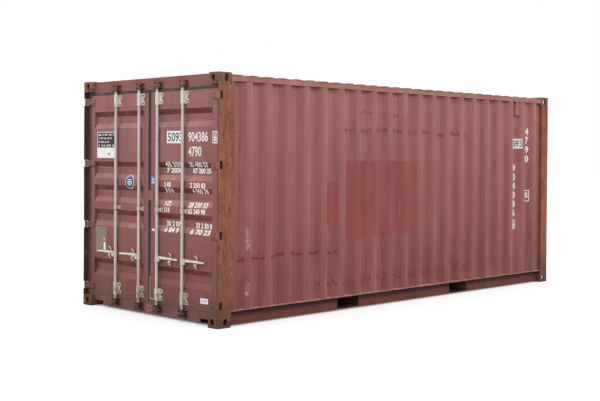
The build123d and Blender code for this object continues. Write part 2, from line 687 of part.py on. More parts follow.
# Doors
for hand, s in SIDES.items():
    own_rods = [x for x in ROD_X if x * s > 0]
    panel_in = LEAF_INNER + STILE
    panel_out = LEAF_OUTER - STILE
    panel_low = LEAF_LOW + RAIL
    panel_high = LEAF_HIGH - RAIL
    leaf_mid = LEAF_FACE + LEAF_DEPTH / 2

    with BuildPart() as stiles:
        for x in (LEAF_INNER + STILE / 2, LEAF_OUTER - STILE / 2):
            with BuildSketch(level(LEAF_LOW)):
                with Locations((s * x, leaf_mid)):
                    Rectangle(STILE, LEAF_DEPTH)
                    Rectangle(STILE - 2 * STILE_WALL, LEAF_DEPTH - 2 * STILE_WALL, mode=Mode.SUBTRACT)
            extrude(amount=LEAF_HIGH - LEAF_LOW)
    keep(stiles, f"{hand}_door_stiles")

    with BuildPart() as rails:
        for low in (LEAF_LOW, panel_high):
            with BuildSketch(Plane.YZ.offset(s * panel_in)):
                with Locations((leaf_mid, low + RAIL / 2)):
                    Rectangle(LEAF_DEPTH, RAIL)
                with Locations((leaf_mid + STILE_WALL / 2, low + RAIL / 2)):
                    Rectangle(LEAF_DEPTH - STILE_WALL, RAIL - 2 * STILE_WALL, mode=Mode.SUBTRACT)
            extrude(amount=s * (panel_out - panel_in))
    keep(rails, f"{hand}_door_rails")

    bends = [(LEAF_FACE, panel_high)]
    for top in TROUGH_TOPS:
        floor_high = top - TROUGH_SLOPE
        floor_low = floor_high - TROUGH_FLOOR
        bends += [(LEAF_FACE, top), (LEAF_FACE + TROUGH_DEPTH, floor_high)]
        bends += [(LEAF_FACE + TROUGH_DEPTH, floor_low), (LEAF_FACE, floor_low - TROUGH_SLOPE)]
    bends += [(LEAF_FACE, panel_low)]
    back_bends = [(y + DOOR_SHEET, z) for y, z in reversed(bends)]
    with BuildPart() as panel:
        plate(Plane.YZ.offset(s * panel_in), bends + back_bends, s * (panel_out - panel_in))
    keep(panel, f"{hand}_door_panel")

    gasket_front = LEAF_FACE + GASKET_SET_BACK
    gasket_depth = (gasket_front, gasket_front + GASKET_THICK)
    with BuildPart() as gasket:
        block((s * GASKET_IN, s * GASKET_OUT), gasket_depth, (GASKET_LOW, GASKET_HIGH))
        block((s * LEAF_INNER, s * LEAF_OUTER), gasket_depth, (LEAF_LOW, LEAF_HIGH), mode=Mode.SUBTRACT)
    keep(gasket, f"{hand}_door_gasket")

    blade = [
        (PIN_X - BLADE_FRONT[0], PIN_Y - BLADE_FRONT[1]),
        (PIN_X - BLADE_FRONT_BEND, LEAF_FACE - BLADE_THICK),
        (LEAF_OUTER - BLADE_ON_DOOR, LEAF_FACE - BLADE_THICK),
        (LEAF_OUTER - BLADE_ON_DOOR, LEAF_FACE),
        (PIN_X - BLADE_BACK_BEND, LEAF_FACE),
        (PIN_X + BLADE_BACK[0], PIN_Y + BLADE_BACK[1]),
    ]
    with BuildPart() as hinges:
        for z in HINGES:
            plate(level(z - BLADE_HEIGHT / 2), placed(blade, s, 0, 0), BLADE_HEIGHT)
            with BuildSketch(level(z - KNUCKLE_HEIGHT / 2)):
                with Locations((s * PIN_X, PIN_Y)):
                    RegularPolygon(KNUCKLE_RADIUS, KNUCKLE_FLATS)
            extrude(amount=KNUCKLE_HEIGHT)
            with BuildSketch(level(z - KNUCKLE_HEIGHT / 2)):
                with Locations((s * PIN_X, PIN_Y)):
                    RegularPolygon(PIN_RADIUS + PIN_FREE, PIN_FLATS, major_radius=False)
            extrude(amount=KNUCKLE_HEIGHT, mode=Mode.SUBTRACT)
    keep(hinges, f"{hand}_door_hinges")

    with BuildPart() as brackets:
        for x in own_rods:
            for z in (BRACKET_LOW, BRACKET_HIGH):
                plate(facing_out(LEAF_FACE), placed(BRACKET_OUTLINE, 1, x, z), BRACKET_BACK)
                saddle(x, z, SADDLE_HEIGHT)
            plate(facing_out(LEAF_FACE), placed(GUIDE_OUTLINE, 1, x, GUIDE_Z), BRACKET_BACK)
            saddle(x, GUIDE_Z, GUIDE_HEIGHT)
    keep(brackets, f"{hand}_door_brackets")

    front = LEAF_FACE - CATCH_FRONT
    with BuildPart() as catches:
        for x in own_rods:
            at = x + s * CATCH_PLACE[hand]
            back = LEAF_FACE - CATCH_BACK
            hook = (at - HOOK_HALF, at + HOOK_HALF)
            ledge = (at - LEDGE_HALF, at + LEDGE_HALF)
            base = (at - CATCH_HALF, at + CATCH_HALF)
            block(base, (LEAF_FACE, back), (CATCH_LOW, CATCH_HIGH - CATCH_LIP))
            block(hook, (back, front), (HOOK_LOW, HOOK_LOW + HOOK_THICK))
            block(hook, (front, front + HOOK_THICK), (HOOK_LOW, CATCH_HIGH))
            block(ledge, (back, front), (LEDGE_HIGH, LEDGE_HIGH - HOOK_THICK))
            block(ledge, (front, front + HOOK_THICK), (LEDGE_HIGH, TAB_LOW))
    keep(catches, f"{hand}_door_catches")

# Small fittings of the right door at the seam: a lap plate and a bent stay bar
with BuildPart() as fittings:
    block(LAP_X, (LEAF_FACE, LEAF_FACE - PLATE), LAP_Z)
    stay_y = LEAF_FACE - STAY_RADIUS
    with BuildLine():
        FilletPolyline(
            (STAY_X, stay_y, STAY_HIGH), (STAY_X, stay_y, STAY_LOW), (STAY_REACH, stay_y, STAY_LOW),
            radius=STAY_BEND,
        )
    with BuildSketch(Plane((STAY_X, stay_y, STAY_HIGH), z_dir=(0, 0, -1))):
        RegularPolygon(STAY_RADIUS, STAY_FLATS, rotation=180 / STAY_FLATS)
    sweep()
keep(fittings, "right_door_fittings")

# Locking gear, one set a rod: the rod, its forgings and its handle
for number, x in enumerate(ROD_X, start=1):
    s = 1 if x > 0 else -1
    with BuildPart() as rod:
        with BuildSketch(level(CAM_LOW + BOSS_IN)):
            with Locations((x, ROD_Y)):
                Circle(ROD_RADIUS)
        extrude(amount=CAM_HIGH - CAM_LOW - 2 * BOSS_IN)
    keep(rod, f"lock_rod_{number}")

    # A cam with its boss at each end, and a hub round the rod that forks over the handle's eye
    with BuildPart() as forgings:
        for z, boss_low in ((CAM_LOW, CAM_LOW - BOSS_OUT), (CAM_HIGH, CAM_HIGH - BOSS_IN)):
            with BuildSketch(level(boss_low)):
                with Locations((x, ROD_Y)):
                    RegularPolygon(BOSS_RADIUS, ROUND_FLATS)
            extrude(amount=BOSS_OUT + BOSS_IN)
            plate(level(z - CAM_HALF), placed(CAM_LOBE, s, x, ROD_Y), 2 * CAM_HALF)
        with BuildSketch(level(HANDLE_Z - HUB_HALF)):
            with Locations((x, ROD_Y)):
                RegularPolygon(HUB_RADIUS, ROUND_FLATS)
        extrude(amount=2 * HUB_HALF)
        fork = placed(FORK_OUTLINE, s, x, HANDLE_Z)
        fork_reach = HANDLE_THICK / 2 + FORK_GAP
        plate(facing_out(HANDLE_MID - fork_reach), fork, FORK_THICK)
        plate(facing_out(HANDLE_MID + fork_reach + FORK_THICK), fork, FORK_THICK)
        with BuildSketch(facing_out(HANDLE_MID + fork_reach)):
            with Locations((x + s * HANDLE_PIVOT, HANDLE_Z)):
                RegularPolygon(EYE_PIN, EYE_FLATS)
        extrude(amount=2 * fork_reach)
        with BuildSketch(level(HANDLE_Z - HUB_HALF)):
            with Locations((x, ROD_Y)):
                RegularPolygon(ROD_RADIUS, ROUND_FLATS, major_radius=False)
        extrude(amount=2 * HUB_HALF, mode=Mode.SUBTRACT)
    keep(forgings, f"rod_fittings_{number}")

    with BuildPart() as handle:
        handle_back = facing_out(HANDLE_MID + HANDLE_THICK / 2)
        plate(handle_back, placed(HANDLE_OUTLINE, s, x, HANDLE_Z), HANDLE_THICK)
        with BuildSketch(handle_back):
            with Locations((x + s * HANDLE_PIVOT, HANDLE_Z)):
                RegularPolygon(EYE_RADIUS, EYE_FLATS, major_radius=False)
        extrude(amount=HANDLE_THICK, mode=Mode.SUBTRACT)
    keep(handle, f"lock_handle_{number}")
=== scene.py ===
import math
from functools import reduce

import bmesh
import bpy
from mathutils import Matrix, Vector
from mathutils.bvhtree import BVHTree


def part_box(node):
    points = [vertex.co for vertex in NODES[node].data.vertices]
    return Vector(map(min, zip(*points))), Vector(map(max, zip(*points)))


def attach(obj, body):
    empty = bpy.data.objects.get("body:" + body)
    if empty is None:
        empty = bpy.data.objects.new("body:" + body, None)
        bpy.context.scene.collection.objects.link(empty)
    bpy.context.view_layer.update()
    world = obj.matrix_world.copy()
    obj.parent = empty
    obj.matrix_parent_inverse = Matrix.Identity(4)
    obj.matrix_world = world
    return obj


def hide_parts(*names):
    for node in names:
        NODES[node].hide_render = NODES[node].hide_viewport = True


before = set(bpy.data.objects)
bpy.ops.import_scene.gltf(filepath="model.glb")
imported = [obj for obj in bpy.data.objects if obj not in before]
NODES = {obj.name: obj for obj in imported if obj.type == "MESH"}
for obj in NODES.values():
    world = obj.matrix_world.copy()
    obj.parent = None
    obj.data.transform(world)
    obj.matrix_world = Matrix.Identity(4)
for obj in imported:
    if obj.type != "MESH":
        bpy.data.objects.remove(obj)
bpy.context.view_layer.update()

# Shipping container, 20 ft, in metres: doors at -Y, length along Y, Z up, origin on the ground

HANDS = {"right": 1, "left": -1}
ACROSS = Vector((1, 0, 0))
ALONG = Vector((0, 1, 0))
UP = Vector((0, 0, 1))
OUTWARD = Vector((0, -1, 0))

LEAF_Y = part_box("right_door_panel")[0][1]
SILL_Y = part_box("door_sill")[0][1]
KEEPER_PLATE_Y = SILL_Y - 0.006
WALL_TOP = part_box("side_walls")[1][2]
ROD_X = [sum(corner[0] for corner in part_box(f"lock_rod_{n}")) / 2 for n in (1, 2, 3, 4)]
HINGE_FIRST = 0.230
HINGE_PITCH = 0.710
HINGE_LEVELS = [HINGE_FIRST + HINGE_PITCH * k for k in range(4)]

# The folds of the side walls: a recess starts at FOLD_FIRST and again every FOLD_PITCH
FOLD_FIRST = -2.580
FOLD_PITCH = 0.279
FOLD_SLOPE = 0.068
FOLD_FLOOR = 0.070
CREST_START = 2 * FOLD_SLOPE + FOLD_FLOOR


def linear(colour):
    """A screen's colour of 0 to 255 as Blender's linear one; a linear colour or a socket stays."""
    if not isinstance(colour, tuple) or len(colour) != 3:
        return colour
    return (*[c / 255 / 12.92 if c <= 10 else ((c / 255 + 0.055) / 1.055) ** 2.4 for c in colour], 1.0)


def grey(level):
    return (level, level, level, 1.0)


def feed(tree, socket, value):
    if isinstance(value, bpy.types.NodeSocket):
        tree.links.new(value, socket)
    else:
        socket.default_value = value


def add_node(tree, kind, inputs=(), **settings):
    """Add a shader node and hand back its outputs."""
    node = tree.nodes.new(f"ShaderNode{kind}")
    for key, value in settings.items():
        setattr(node, key, value)
    for key, value in dict(inputs).items():
        feed(tree, node.inputs[key], value)
    return node.outputs


def new_object(name, data):
    item = bpy.data.objects.new(name, data)
    bpy.context.collection.objects.link(item)
    return item


def empty_tree(block):
    block.use_nodes = True
    block.node_tree.nodes.clear()
    return block.node_tree


def rectangle(left, right, low, high):
    return [(left, low), (right, low), (right, high), (left, high)]


# Camera and light

IMAGE_WIDTH = 600
IMAGE_HEIGHT = 401
FOCAL_PIXELS = 1040.8
EYE = Vector((9.2372, -9.7647, 1.7466))
YAW = -0.7840
PITCH = -0.0119
ROLL = 0.0064
CENTRE_X = 310.3
CENTRE_Y = 168.6
SENSOR = 36.0
FAR_CLIP = 200

WORLD_LIGHT = 1.06
LAMPS = {"side_lamp": (0.7, Vector((0.80, 0.10, 0.85))), "door_lamp": (1.25, Vector((0.10, -1.0, 0.35)))}
LAMP_SOFTNESS = math.radians(60)

# The studio floor's glow fades out below the container, a painted shadow, from the inner to the outer bound
# of each axis
FLOOR_BOUNCE = 0.12
FLOOR_SHOWN = 0.60
FLOOR_GLOW = 0.42
FLOOR_HALF = 60
UNDER_X = (1.05, 1.20)
UNDER_Y = (2.85, 3.00)


def make_camera():
    """The photograph's camera."""
    data = bpy.data.cameras.new("camera")
    data.sensor_width = SENSOR
    data.lens = SENSOR * FOCAL_PIXELS / IMAGE_WIDTH
    data.shift_x = (IMAGE_WIDTH / 2 - CENTRE_X) / IMAGE_WIDTH
    data.shift_y = (CENTRE_Y - IMAGE_HEIGHT / 2) / IMAGE_WIDTH
    data.clip_end = FAR_CLIP
    camera = new_object("camera", data)
    ahead = Vector((math.sin(YAW) * math.cos(PITCH), math.cos(YAW) * math.cos(PITCH), math.sin(PITCH)))
    right = Vector((math.cos(YAW), -math.sin(YAW), 0))
    turn = Matrix((right, right.cross(ahead), -ahead)).transposed() @ Matrix.Rotation(ROLL, 3, "Z")
    camera.matrix_world = Matrix.Translation(EYE) @ turn.to_4x4()
    bpy.context.scene.camera = camera


def seen_apart(tree, lighting, shown, output):
    """End a tree: the camera, mirrors and glass see one shader, and the other one lights things."""
    path = add_node(tree, "LightPath")
    seen = path["Is Camera Ray"]
    for name in ("Is Glossy Ray", "Is Transmission Ray"):
        seen = add_node(tree, "Math", {0: seen, 1: path[name]}, operation="ADD", use_clamp=True)[0]
    mix = add_node(tree, "MixShader", {0: seen, 1: lighting, 2: shown})[0]
    add_node(tree, output, {0: mix})


def make_light():
    world = bpy.data.worlds.new("studio")
    bpy.context.scene.world = world
    tree = empty_tree(world)
    light = add_node(tree, "Background", {"Color": grey(1.0), "Strength": WORLD_LIGHT})[0]
    shown = add_node(tree, "Background", {"Color": grey(1.0), "Strength": 1.0})[0]
    seen_apart(tree, light, shown, "OutputWorld")
    for name, (energy, coming_from) in LAMPS.items():
        lamp = new_object(name, bpy.data.lights.new(name, "SUN"))
        lamp.data.energy = energy
        lamp.data.angle = LAMP_SOFTNESS
        lamp.rotation_euler = coming_from.to_track_quat("Z", "Y").to_euler()


def make_floor():
    """A matt white floor that keeps a faint shadow, with a painted shadow below the container where its glow
    fades out.
    """
    mesh = bpy.data.meshes.new("studio_floor")
    corners = [(x, y, 0) for x, y in rectangle(-FLOOR_HALF, FLOOR_HALF, -FLOOR_HALF, FLOOR_HALF)]
    mesh.from_pydata(corners, [], [(0, 1, 2, 3)])
    floor = new_object("studio_floor", mesh)
    material = bpy.data.materials.new("studio_floor")
    tree = empty_tree(material)
    point = add_node(tree, "TexCoord")["Object"]
    place = add_node(tree, "SeparateXYZ", {0: point})
    outside = []
    # The glow is kept only away from the container: a painted shadow below it
    for axis, (inner, outer) in enumerate((UNDER_X, UNDER_Y)):
        away = add_node(tree, "Math", {0: place[axis]}, operation="ABSOLUTE")[0]
        sockets = {"Value": away, "From Min": inner, "From Max": outer, "To Max": FLOOR_GLOW}
        outside.append(add_node(tree, "MapRange", sockets)[0])
    strength = add_node(tree, "Math", dict(enumerate(outside)), operation="MAXIMUM")[0]
    glow = add_node(tree, "Emission", {"Strength": strength})[0]
    dim = add_node(tree, "BsdfDiffuse", {"Color": grey(FLOOR_BOUNCE)})[0]
    pale = add_node(tree, "BsdfDiffuse", {"Color": grey(FLOOR_SHOWN)})[0]
    shown = add_node(tree, "AddShader", {0: pale, 1: glow})[0]
    seen_apart(tree, dim, shown, "OutputMaterial")
    mesh.materials.append(material)


# Materials

NOISE_SHIFT = 7.3


class Surface:
    """A material whose colour is built up from masks of 0 to 1, in the container's own metres."""

    def __init__(self, name, colour):
        self.material = bpy.data.materials.new(name)
        self.material.use_nodes = True
        self.tree = self.material.node_tree
        coordinates = self.node("TexCoord")
        self.place = coordinates["Object"]
        self.x, self.y, self.z = self.node("SeparateXYZ", {0: self.place})
        facing = self.node("SeparateXYZ", {0: coordinates["Normal"]})
        self.facing_x, self.facing_y, self.facing_z = facing
        self.colour = linear(colour)
        self.shift = 0.0

    def node(self, kind, inputs=(), **settings):
        return add_node(self.tree, kind, inputs, **settings)

    def math(self, operation, a, b=0.0):
        return self.node("Math", {0: a, 1: b}, operation=operation)[0]

    def times(self, *values):
        return reduce(lambda a, b: self.math("MULTIPLY", a, b), values)

    def either(self, *values):
        return reduce(lambda a, b: self.math("MAXIMUM", a, b), values)

    def no(self, a):
        return self.math("SUBTRACT", 1.0, a)

    def ramp(self, value, start, stop):
        """0 at start, 1 at stop, smooth between; start may be the larger one."""
        sockets = {"Value": value, "From Min": start, "From Max": stop}
        return self.node("MapRange", sockets, interpolation_type="SMOOTHSTEP")[0]

    def within(self, value, start, stop, soft=0.004):
        return self.times(self.ramp(value, start - soft, start), self.ramp(value, stop + soft, stop))

    def about(self, value, centre, reach):
        """1 where value is at centre, falling to 0 at reach from it."""
        return self.ramp(self.math("ABSOLUTE", self.math("SUBTRACT", value, centre)), reach, 0.0)

    def between(self, value, low, high, start=0.0, stop=1.0):
        """Grow evenly from low to high as value goes from start to stop."""
        sockets = {"Value": value, "From Min": start, "From Max": stop, "To Min": low, "To Max": high}
        return self.node("MapRange", sockets)[0]

    def noise(self, scale, detail, rough, stretch=(1, 1, 1), twist=0.0):
        """About 0.3 to 0.7; each call lies elsewhere, so no two noises of a material agree."""
        self.shift += NOISE_SHIFT
        shift = (self.shift, -self.shift, self.shift / 2)
        place = self.node("Mapping", {"Vector": self.place, "Scale": stretch, "Location": shift})[0]
        sockets = {"Vector": place, "Scale": scale, "Detail": detail, "Roughness": rough, "Distortion": twist}
        return self.node("TexNoise", sockets)[0]

    def cloud(self, start, stop, *noise):
        """A noise as a mask."""
        return self.ramp(self.noise(*noise), start, stop)

    def specks(self, scale, threshold, where):
        """Small ragged spots, where a coarser noise lets them be."""
        fine = self.noise(scale, 5, 0.75)
        coarse = self.noise(scale / 14, 4, 0.6)
        spots = self.ramp(fine, threshold, threshold + 0.05)
        return self.times(spots, self.ramp(coarse, where, where + 0.12))

    def mix(self, mask, under, over, blend="MIX"):
        sockets = {0: mask, 6: linear(under), 7: linear(over)}
        return self.node("Mix", sockets, data_type="RGBA", blend_type=blend)[2]

    def cover(self, mask, colour, amount=1.0):
        """Lay a colour over what is there."""
        self.colour = self.mix(self.times(mask, amount), self.colour, colour)

    def fade(self, value, start, stop, colour, amount=1.0):
        """Lay a colour that grows from start to stop."""
        self.cover(self.ramp(value, start, stop), colour, amount)

    def tone(self, noise, strength):
        """Make the colour lighter and darker with a noise."""
        factor = self.between(noise, 1 - strength, 1 + strength, 0.25, 0.75)
        shade = self.node("CombineXYZ", {0: factor, 1: factor, 2: factor})[0]
        self.colour = self.mix(1.0, self.colour, shade, "MULTIPLY")

    def deepen(self, level, mask=1.0):
        """Make the whole colour darker."""
        self.colour = self.mix(mask, self.colour, grey(level), "MULTIPLY")

    def finish(self, rough, relief, metal=0.0, specular=0.35):
        """Hand the colour to the shader, with a relief of heights and depths."""
        inputs = {"Base Color": self.colour, "Roughness": rough, "Metallic": metal}
        inputs["Specular IOR Level"] = specular
        normal = {}
        for height, depth in relief:
            sockets = {"Height": height, "Distance": depth, "Strength": 1.0, **normal}
            normal = {"Normal": self.node("Bump", sockets)[0]}
        for key, value in (inputs | normal).items():
            feed(self.tree, self.tree.nodes["Principled BSDF"].inputs[key], value)
        return self.material


PAINT = (160, 100, 95)
PAINT_PALE = (188, 128, 122)
PAINT_DEEP = (130, 73, 67)
PAINT_MAUVE = (164, 98, 98)
PAINT_BROWN = (146, 96, 84)
PAINT_FRESH = (144, 66, 60)
PAINTED_WALL_SHADE = (104, 50, 44)
PAINT_WORN = (200, 154, 142)
SCUFF = (108, 32, 28)
SCUFF_DASH = (96, 28, 24)
RUST = (124, 68, 46)
RUST_BRIGHT = (184, 112, 76)
RUST_DARK = (64, 36, 28)
GRIME = (112, 88, 72)
BARE = (214, 196, 190)


def paint_wear(s, rust, runs=0.08):
    """Run marks, mottling, rust and small bright chips."""
    s.tone(s.noise(3.0, 4, 0.6, (6, 6, 0.16)), runs)
    s.tone(s.noise(1.1, 4, 0.6, (1, 1, 0.7)), 0.1)
    mottle = s.noise(34, 4, 0.7, (1, 1, 0.7))
    s.tone(mottle, 0.07)
    s.fade(s.noise(1.8, 5, 0.62, (3, 3, 0.5)), 0.46, 0.66, PAINT_MAUVE, 0.45)
    s.fade(s.noise(1.6, 5, 0.62, (3, 3, 0.5)), 0.5, 0.68, PAINT_BROWN, 0.45)
    s.fade(s.noise(2.2, 6, 0.66, (2, 2, 0.4)), 0.6, 0.78, GRIME, 0.22)
    specks = s.specks(52, 0.63 - 0.05 * rust, 0.5)
    stains = s.cloud(0.71 - 0.09 * rust, 0.76 - 0.07 * rust, 8, 7, 0.72, (1, 1, 0.6))
    rusted = s.either(specks, stains)
    s.cover(rusted, s.mix(s.noise(24, 4, 0.7), RUST, RUST_BRIGHT), 0.8)
    s.cover(s.specks(90, 0.68, 0.54), BARE, 0.5)
    return mottle, rusted


def painted_finish(s, mottle, rusted):
    rough = s.between(rusted, 0.6, 0.92)
    return s.finish(rough, [(s.noise(2.6, 3, 0.5), 0.012), (rusted, 0.0007), (mottle, 0.0005)])


# Marks on the right side wall. Patches of fresh paint: start, end, foot, head and strength
FRESH_PATCHES = [
    (-1.095, -0.625, 0.803, 1.695, 1.0),
    (-0.625, -0.557, 0.807, 1.695, 0.45),
    (-0.557, 0.120, 0.823, 1.695, 0.85),
    (-1.450, -1.268, 0.978, 1.459, 0.95),
    (2.215, 2.325, 2.040, 2.138, 0.8),
    (2.225, 2.400, 1.693, 1.854, 0.55),
]
# Bands of scuffs: height, start, end, reach up and down, noise level where they start, strength of the dashes
SCUFF_BANDS = [
    (0.690, -2.72, -1.25, 0.065, 0.47, 0.90),
    (2.045, -1.20, 1.15, 0.055, 0.48, 0.35),
    (2.230, -0.92, 0.25, 0.040, 0.51, 0.0),
    (0.330, -1.60, 1.30, 0.110, 0.49, 0.25),
]
CHIPPED_FOLD = -2.628
CHIP_HEIGHTS = [(0.80, 0.98), (0.32, 0.42)]
WALL_FOOT = 0.169


def wall_folds(s, fold, crest):
    """Painted light and shade on the sides of the folds, a darker tone on the crests, and pale broken lines
    along the crest edges.
    """
    # Painted light on the slope that faces away from the doors; painted shade on the slope that faces the
    # doors and, less, on the recess floor
    s.cover(s.within(fold, 0.01, FOLD_SLOPE - 0.01, 0.02), PAINT_PALE, 0.24)
    s.cover(s.within(fold, FOLD_SLOPE + FOLD_FLOOR, CREST_START - 0.01, 0.024), PAINTED_WALL_SHADE, 0.42)
    s.cover(s.within(fold, FOLD_SLOPE, FOLD_SLOPE + FOLD_FLOOR, 0.012), PAINTED_WALL_SHADE, 0.09)
    s.cover(crest, PAINT_DEEP, 0.2)
    edge = s.either(s.ramp(fold, FOLD_PITCH - 0.014, FOLD_PITCH - 0.004), s.ramp(fold, 0.004, 0.0))
    s.cover(s.times(edge, s.cloud(0.46, 0.6, 6, 4, 0.6, (1, 1, 0.12))), (206, 156, 148), 0.6)


def wall_scuffs(s, fold, crest, right):
    """Torn bands of red with dashes and bare flecks, and chips on a fold by the doors."""
    for height, start, stop, reach, ragged, dashes in SCUFF_BANDS:
        stray = s.math("MULTIPLY", s.math("SUBTRACT", s.noise(2.6, 0, 0.5, (1, 1, 0.01)), 0.5), 0.09)
        level = s.math("ADD", s.z, stray)
        where = s.times(s.within(s.y, start, stop, 0.05), right)
        band = s.about(level, height, reach)
        torn = s.cloud(ragged, ragged + 0.08, 26, 5, 0.72, (1, 1, 1.3))
        s.cover(s.times(band, torn, where, s.no(crest)), SCUFF, 0.85)
        broken = s.cloud(0.36, 0.46, 24, 3, 0.6, (1, 1, 0.5))
        dash = s.times(s.about(level, height, 0.017), s.within(fold, 0.05, 0.165, 0.03), broken, where)
        s.cover(dash, SCUFF_DASH, dashes)
        s.cover(s.times(band, s.specks(60, 0.6, 0.46), where), BARE, 0.6)
    for start, stop in CHIP_HEIGHTS:
        flecks = s.cloud(0.51, 0.56, 62, 5, 0.78, (1.6, 1.6, 0.6))
        chips = s.times(flecks, s.about(s.y, CHIPPED_FOLD, 0.045), s.within(s.z, start, stop, 0.04), right)
        s.cover(chips, BARE, 0.95)


def side_wall_paint():
    """The side walls: chalky above, browner below, with painted shade on the folds and painted shadow under
    the top rail.
    """
    s = Surface("side_wall_paint", PAINT)
    s.fade(s.z, 1.15, 2.45, PAINT_PALE, 0.55)
    s.fade(s.z, 1.45, 0.15, PAINT_DEEP, 0.85)
    fold = s.math("FLOORED_MODULO", s.math("SUBTRACT", s.y, FOLD_FIRST), FOLD_PITCH)
    crest = s.within(fold, CREST_START, FOLD_PITCH, 0.01)
    wall_folds(s, fold, crest)
    right = s.ramp(s.x, 0.0, 0.1)
    for start, stop, foot, head, amount in FRESH_PATCHES:
        patch = s.times(s.within(s.y, start, stop, 0.006), s.within(s.z, foot, head, 0.006), right)
        thin = s.cloud(0.15, 0.5, 3.0, 4, 0.6, (2, 2, 0.6))
        s.cover(s.times(patch, thin), PAINT_FRESH, amount * 0.85)
    # Painted shadow of the top rail's overhang in the recesses below it
    s.cover(s.times(s.ramp(s.z, 2.44, WALL_TOP), s.no(crest)), PAINTED_WALL_SHADE, 0.4)
    rubbed = s.times(s.ramp(s.z, WALL_FOOT + 0.009, WALL_FOOT), s.cloud(0.36, 0.54, 9, 4, 0.7))
    s.cover(rubbed, PAINT_WORN, 0.65)
    mottle, rusted = paint_wear(s, 0.12)
    s.fade(s.noise(5, 4, 0.6, (9, 9, 0.25)), 0.64, 0.72, RUST_DARK, 0.3)
    s.fade(s.noise(5, 4, 0.6, (9, 9, 0.2)), 0.66, 0.72, BARE, 0.24)
    wall_scuffs(s, fold, crest, right)
    return painted_finish(s, mottle, rusted)


DOOR_DEPTH = 0.66
INNER_STILE = 0.100
# How far below each hinge's middle the painted shadow of its blade lies
HINGE_SHADOW_DROP = 0.054
# The arc that the right door's outer handle has rubbed into the paint
ARC_X = 0.96
ARC_Z = 0.71
ARC_RADIUS = 0.100


def door_paint():
    """The doors: rubbed at the lock gear, with painted shadow below the hinges, painted shade on faces that
    look down and beside the left post, and painted light on faces that look up.
    """
    s = Surface("door_paint", (168, 106, 103))
    across = s.math("ABSOLUTE", s.x)
    s.fade(s.z, 1.05, 2.45, (190, 132, 128), 0.55)
    s.fade(s.z, 1.35, 0.2, (139, 74, 67), 0.95)
    s.fade(across, INNER_STILE, INNER_STILE - 0.004, (146, 97, 90), 0.5)
    # Painted shade on the left leaf's outer edge beside the post
    s.fade(s.x, -1.095, -1.12, (100, 62, 56), 0.4)
    # Painted shade on faces that look down and painted light on faces that look up, as on the slopes of the
    # troughs
    s.fade(s.facing_z, -0.15, -0.45, (98, 14, 10), 0.86)
    s.cover(s.times(s.ramp(s.facing_z, 0.15, 0.45), s.ramp(s.z, 0.1, 1.1)), (214, 160, 156), 0.56)
    mottle, rusted = paint_wear(s, 0.1, 0.04)
    # Painted shadow below each hinge blade
    below_hinge = s.either(*[s.about(s.z, level - HINGE_SHADOW_DROP, 0.01) for level in HINGE_LEVELS])
    hinge_shadow = s.times(below_hinge, s.ramp(across, 1.03, 1.1), s.cloud(0.34, 0.5, 20, 4, 0.7))
    s.cover(hinge_shadow, (70, 30, 24), 0.8)
    squares = [s.math("POWER", s.math("SUBTRACT", a, b), 2.0) for a, b in ((s.x, ARC_X), (s.z, ARC_Z))]
    arc = s.about(s.math("SQRT", s.math("ADD", *squares)), ARC_RADIUS, 0.012)
    rubbed = s.times(arc, s.cloud(0.42, 0.56, 26, 4, 0.7), s.ramp(s.x, 0.98, 0.9))
    s.cover(rubbed, (110, 54, 48), 0.6)
    s.fade(s.noise(2.5, 4, 0.62, (0.8, 1, 22)), 0.64, 0.72, (216, 172, 166), 0.28)
    s.cover(s.times(s.ramp(s.z, 0.36, 0.2), s.cloud(0.4, 0.62, 9, 5, 0.7)), (104, 66, 52), 0.5)
    s.deepen(DOOR_DEPTH)
    return painted_finish(s, mottle, rusted)


def frame_paint():
    """Header and sill, with orange rust on the right and fresh red dabs by the rods."""
    s = Surface("frame_paint", (162, 102, 97))
    dabs = s.either(*[s.about(s.x, x - 0.06, 0.16) for x in ROD_X])
    s.cover(s.times(dabs, s.cloud(0.44, 0.56, 7, 5, 0.65)), PAINT_FRESH, 0.75)
    s.fade(s.z, 1.4, 0.4, (122, 74, 68))
    header_right = s.times(s.ramp(s.x, 0.3, 1.0), s.ramp(s.z, 2.3, 2.4))
    s.cover(s.times(header_right, s.cloud(0.4, 0.6, 3.4, 5, 0.62, (1, 1, 2))), RUST_BRIGHT, 0.55)
    mottle, rusted = paint_wear(s, 0.5)
    s.deepen(DOOR_DEPTH)
    return painted_finish(s, mottle, rusted)


def rail_paint():
    """Pink-brown, with water stains: top rails, front end and all that has no paint of its own."""
    s = Surface("rail_paint", (178, 124, 112))
    s.fade(s.noise(2.2, 6, 0.66, (1, 1, 3)), 0.44, 0.62, (160, 106, 92), 0.8)
    stain = s.times(s.ramp(s.z, WALL_TOP + 0.03, WALL_TOP + 0.058), s.cloud(0.4, 0.58, 11, 5, 0.68))
    s.cover(stain, (116, 86, 68), 0.75)
    return painted_finish(s, *paint_wear(s, 0.6))


def roof_paint():
    """Dull paint with rust rings where water stood."""
    s = Surface("roof_paint", (150, 104, 94))
    pools = s.noise(1.3, 6, 0.62)
    s.cover(s.within(pools, 0.5, 0.53, 0.05), RUST, 0.22)
    s.fade(pools, 0.46, 0.68, (128, 84, 70), 0.6)
    s.fade(s.noise(0.7, 4, 0.6), 0.5, 0.66, (166, 122, 112), 0.6)
    return painted_finish(s, *paint_wear(s, 0.7))


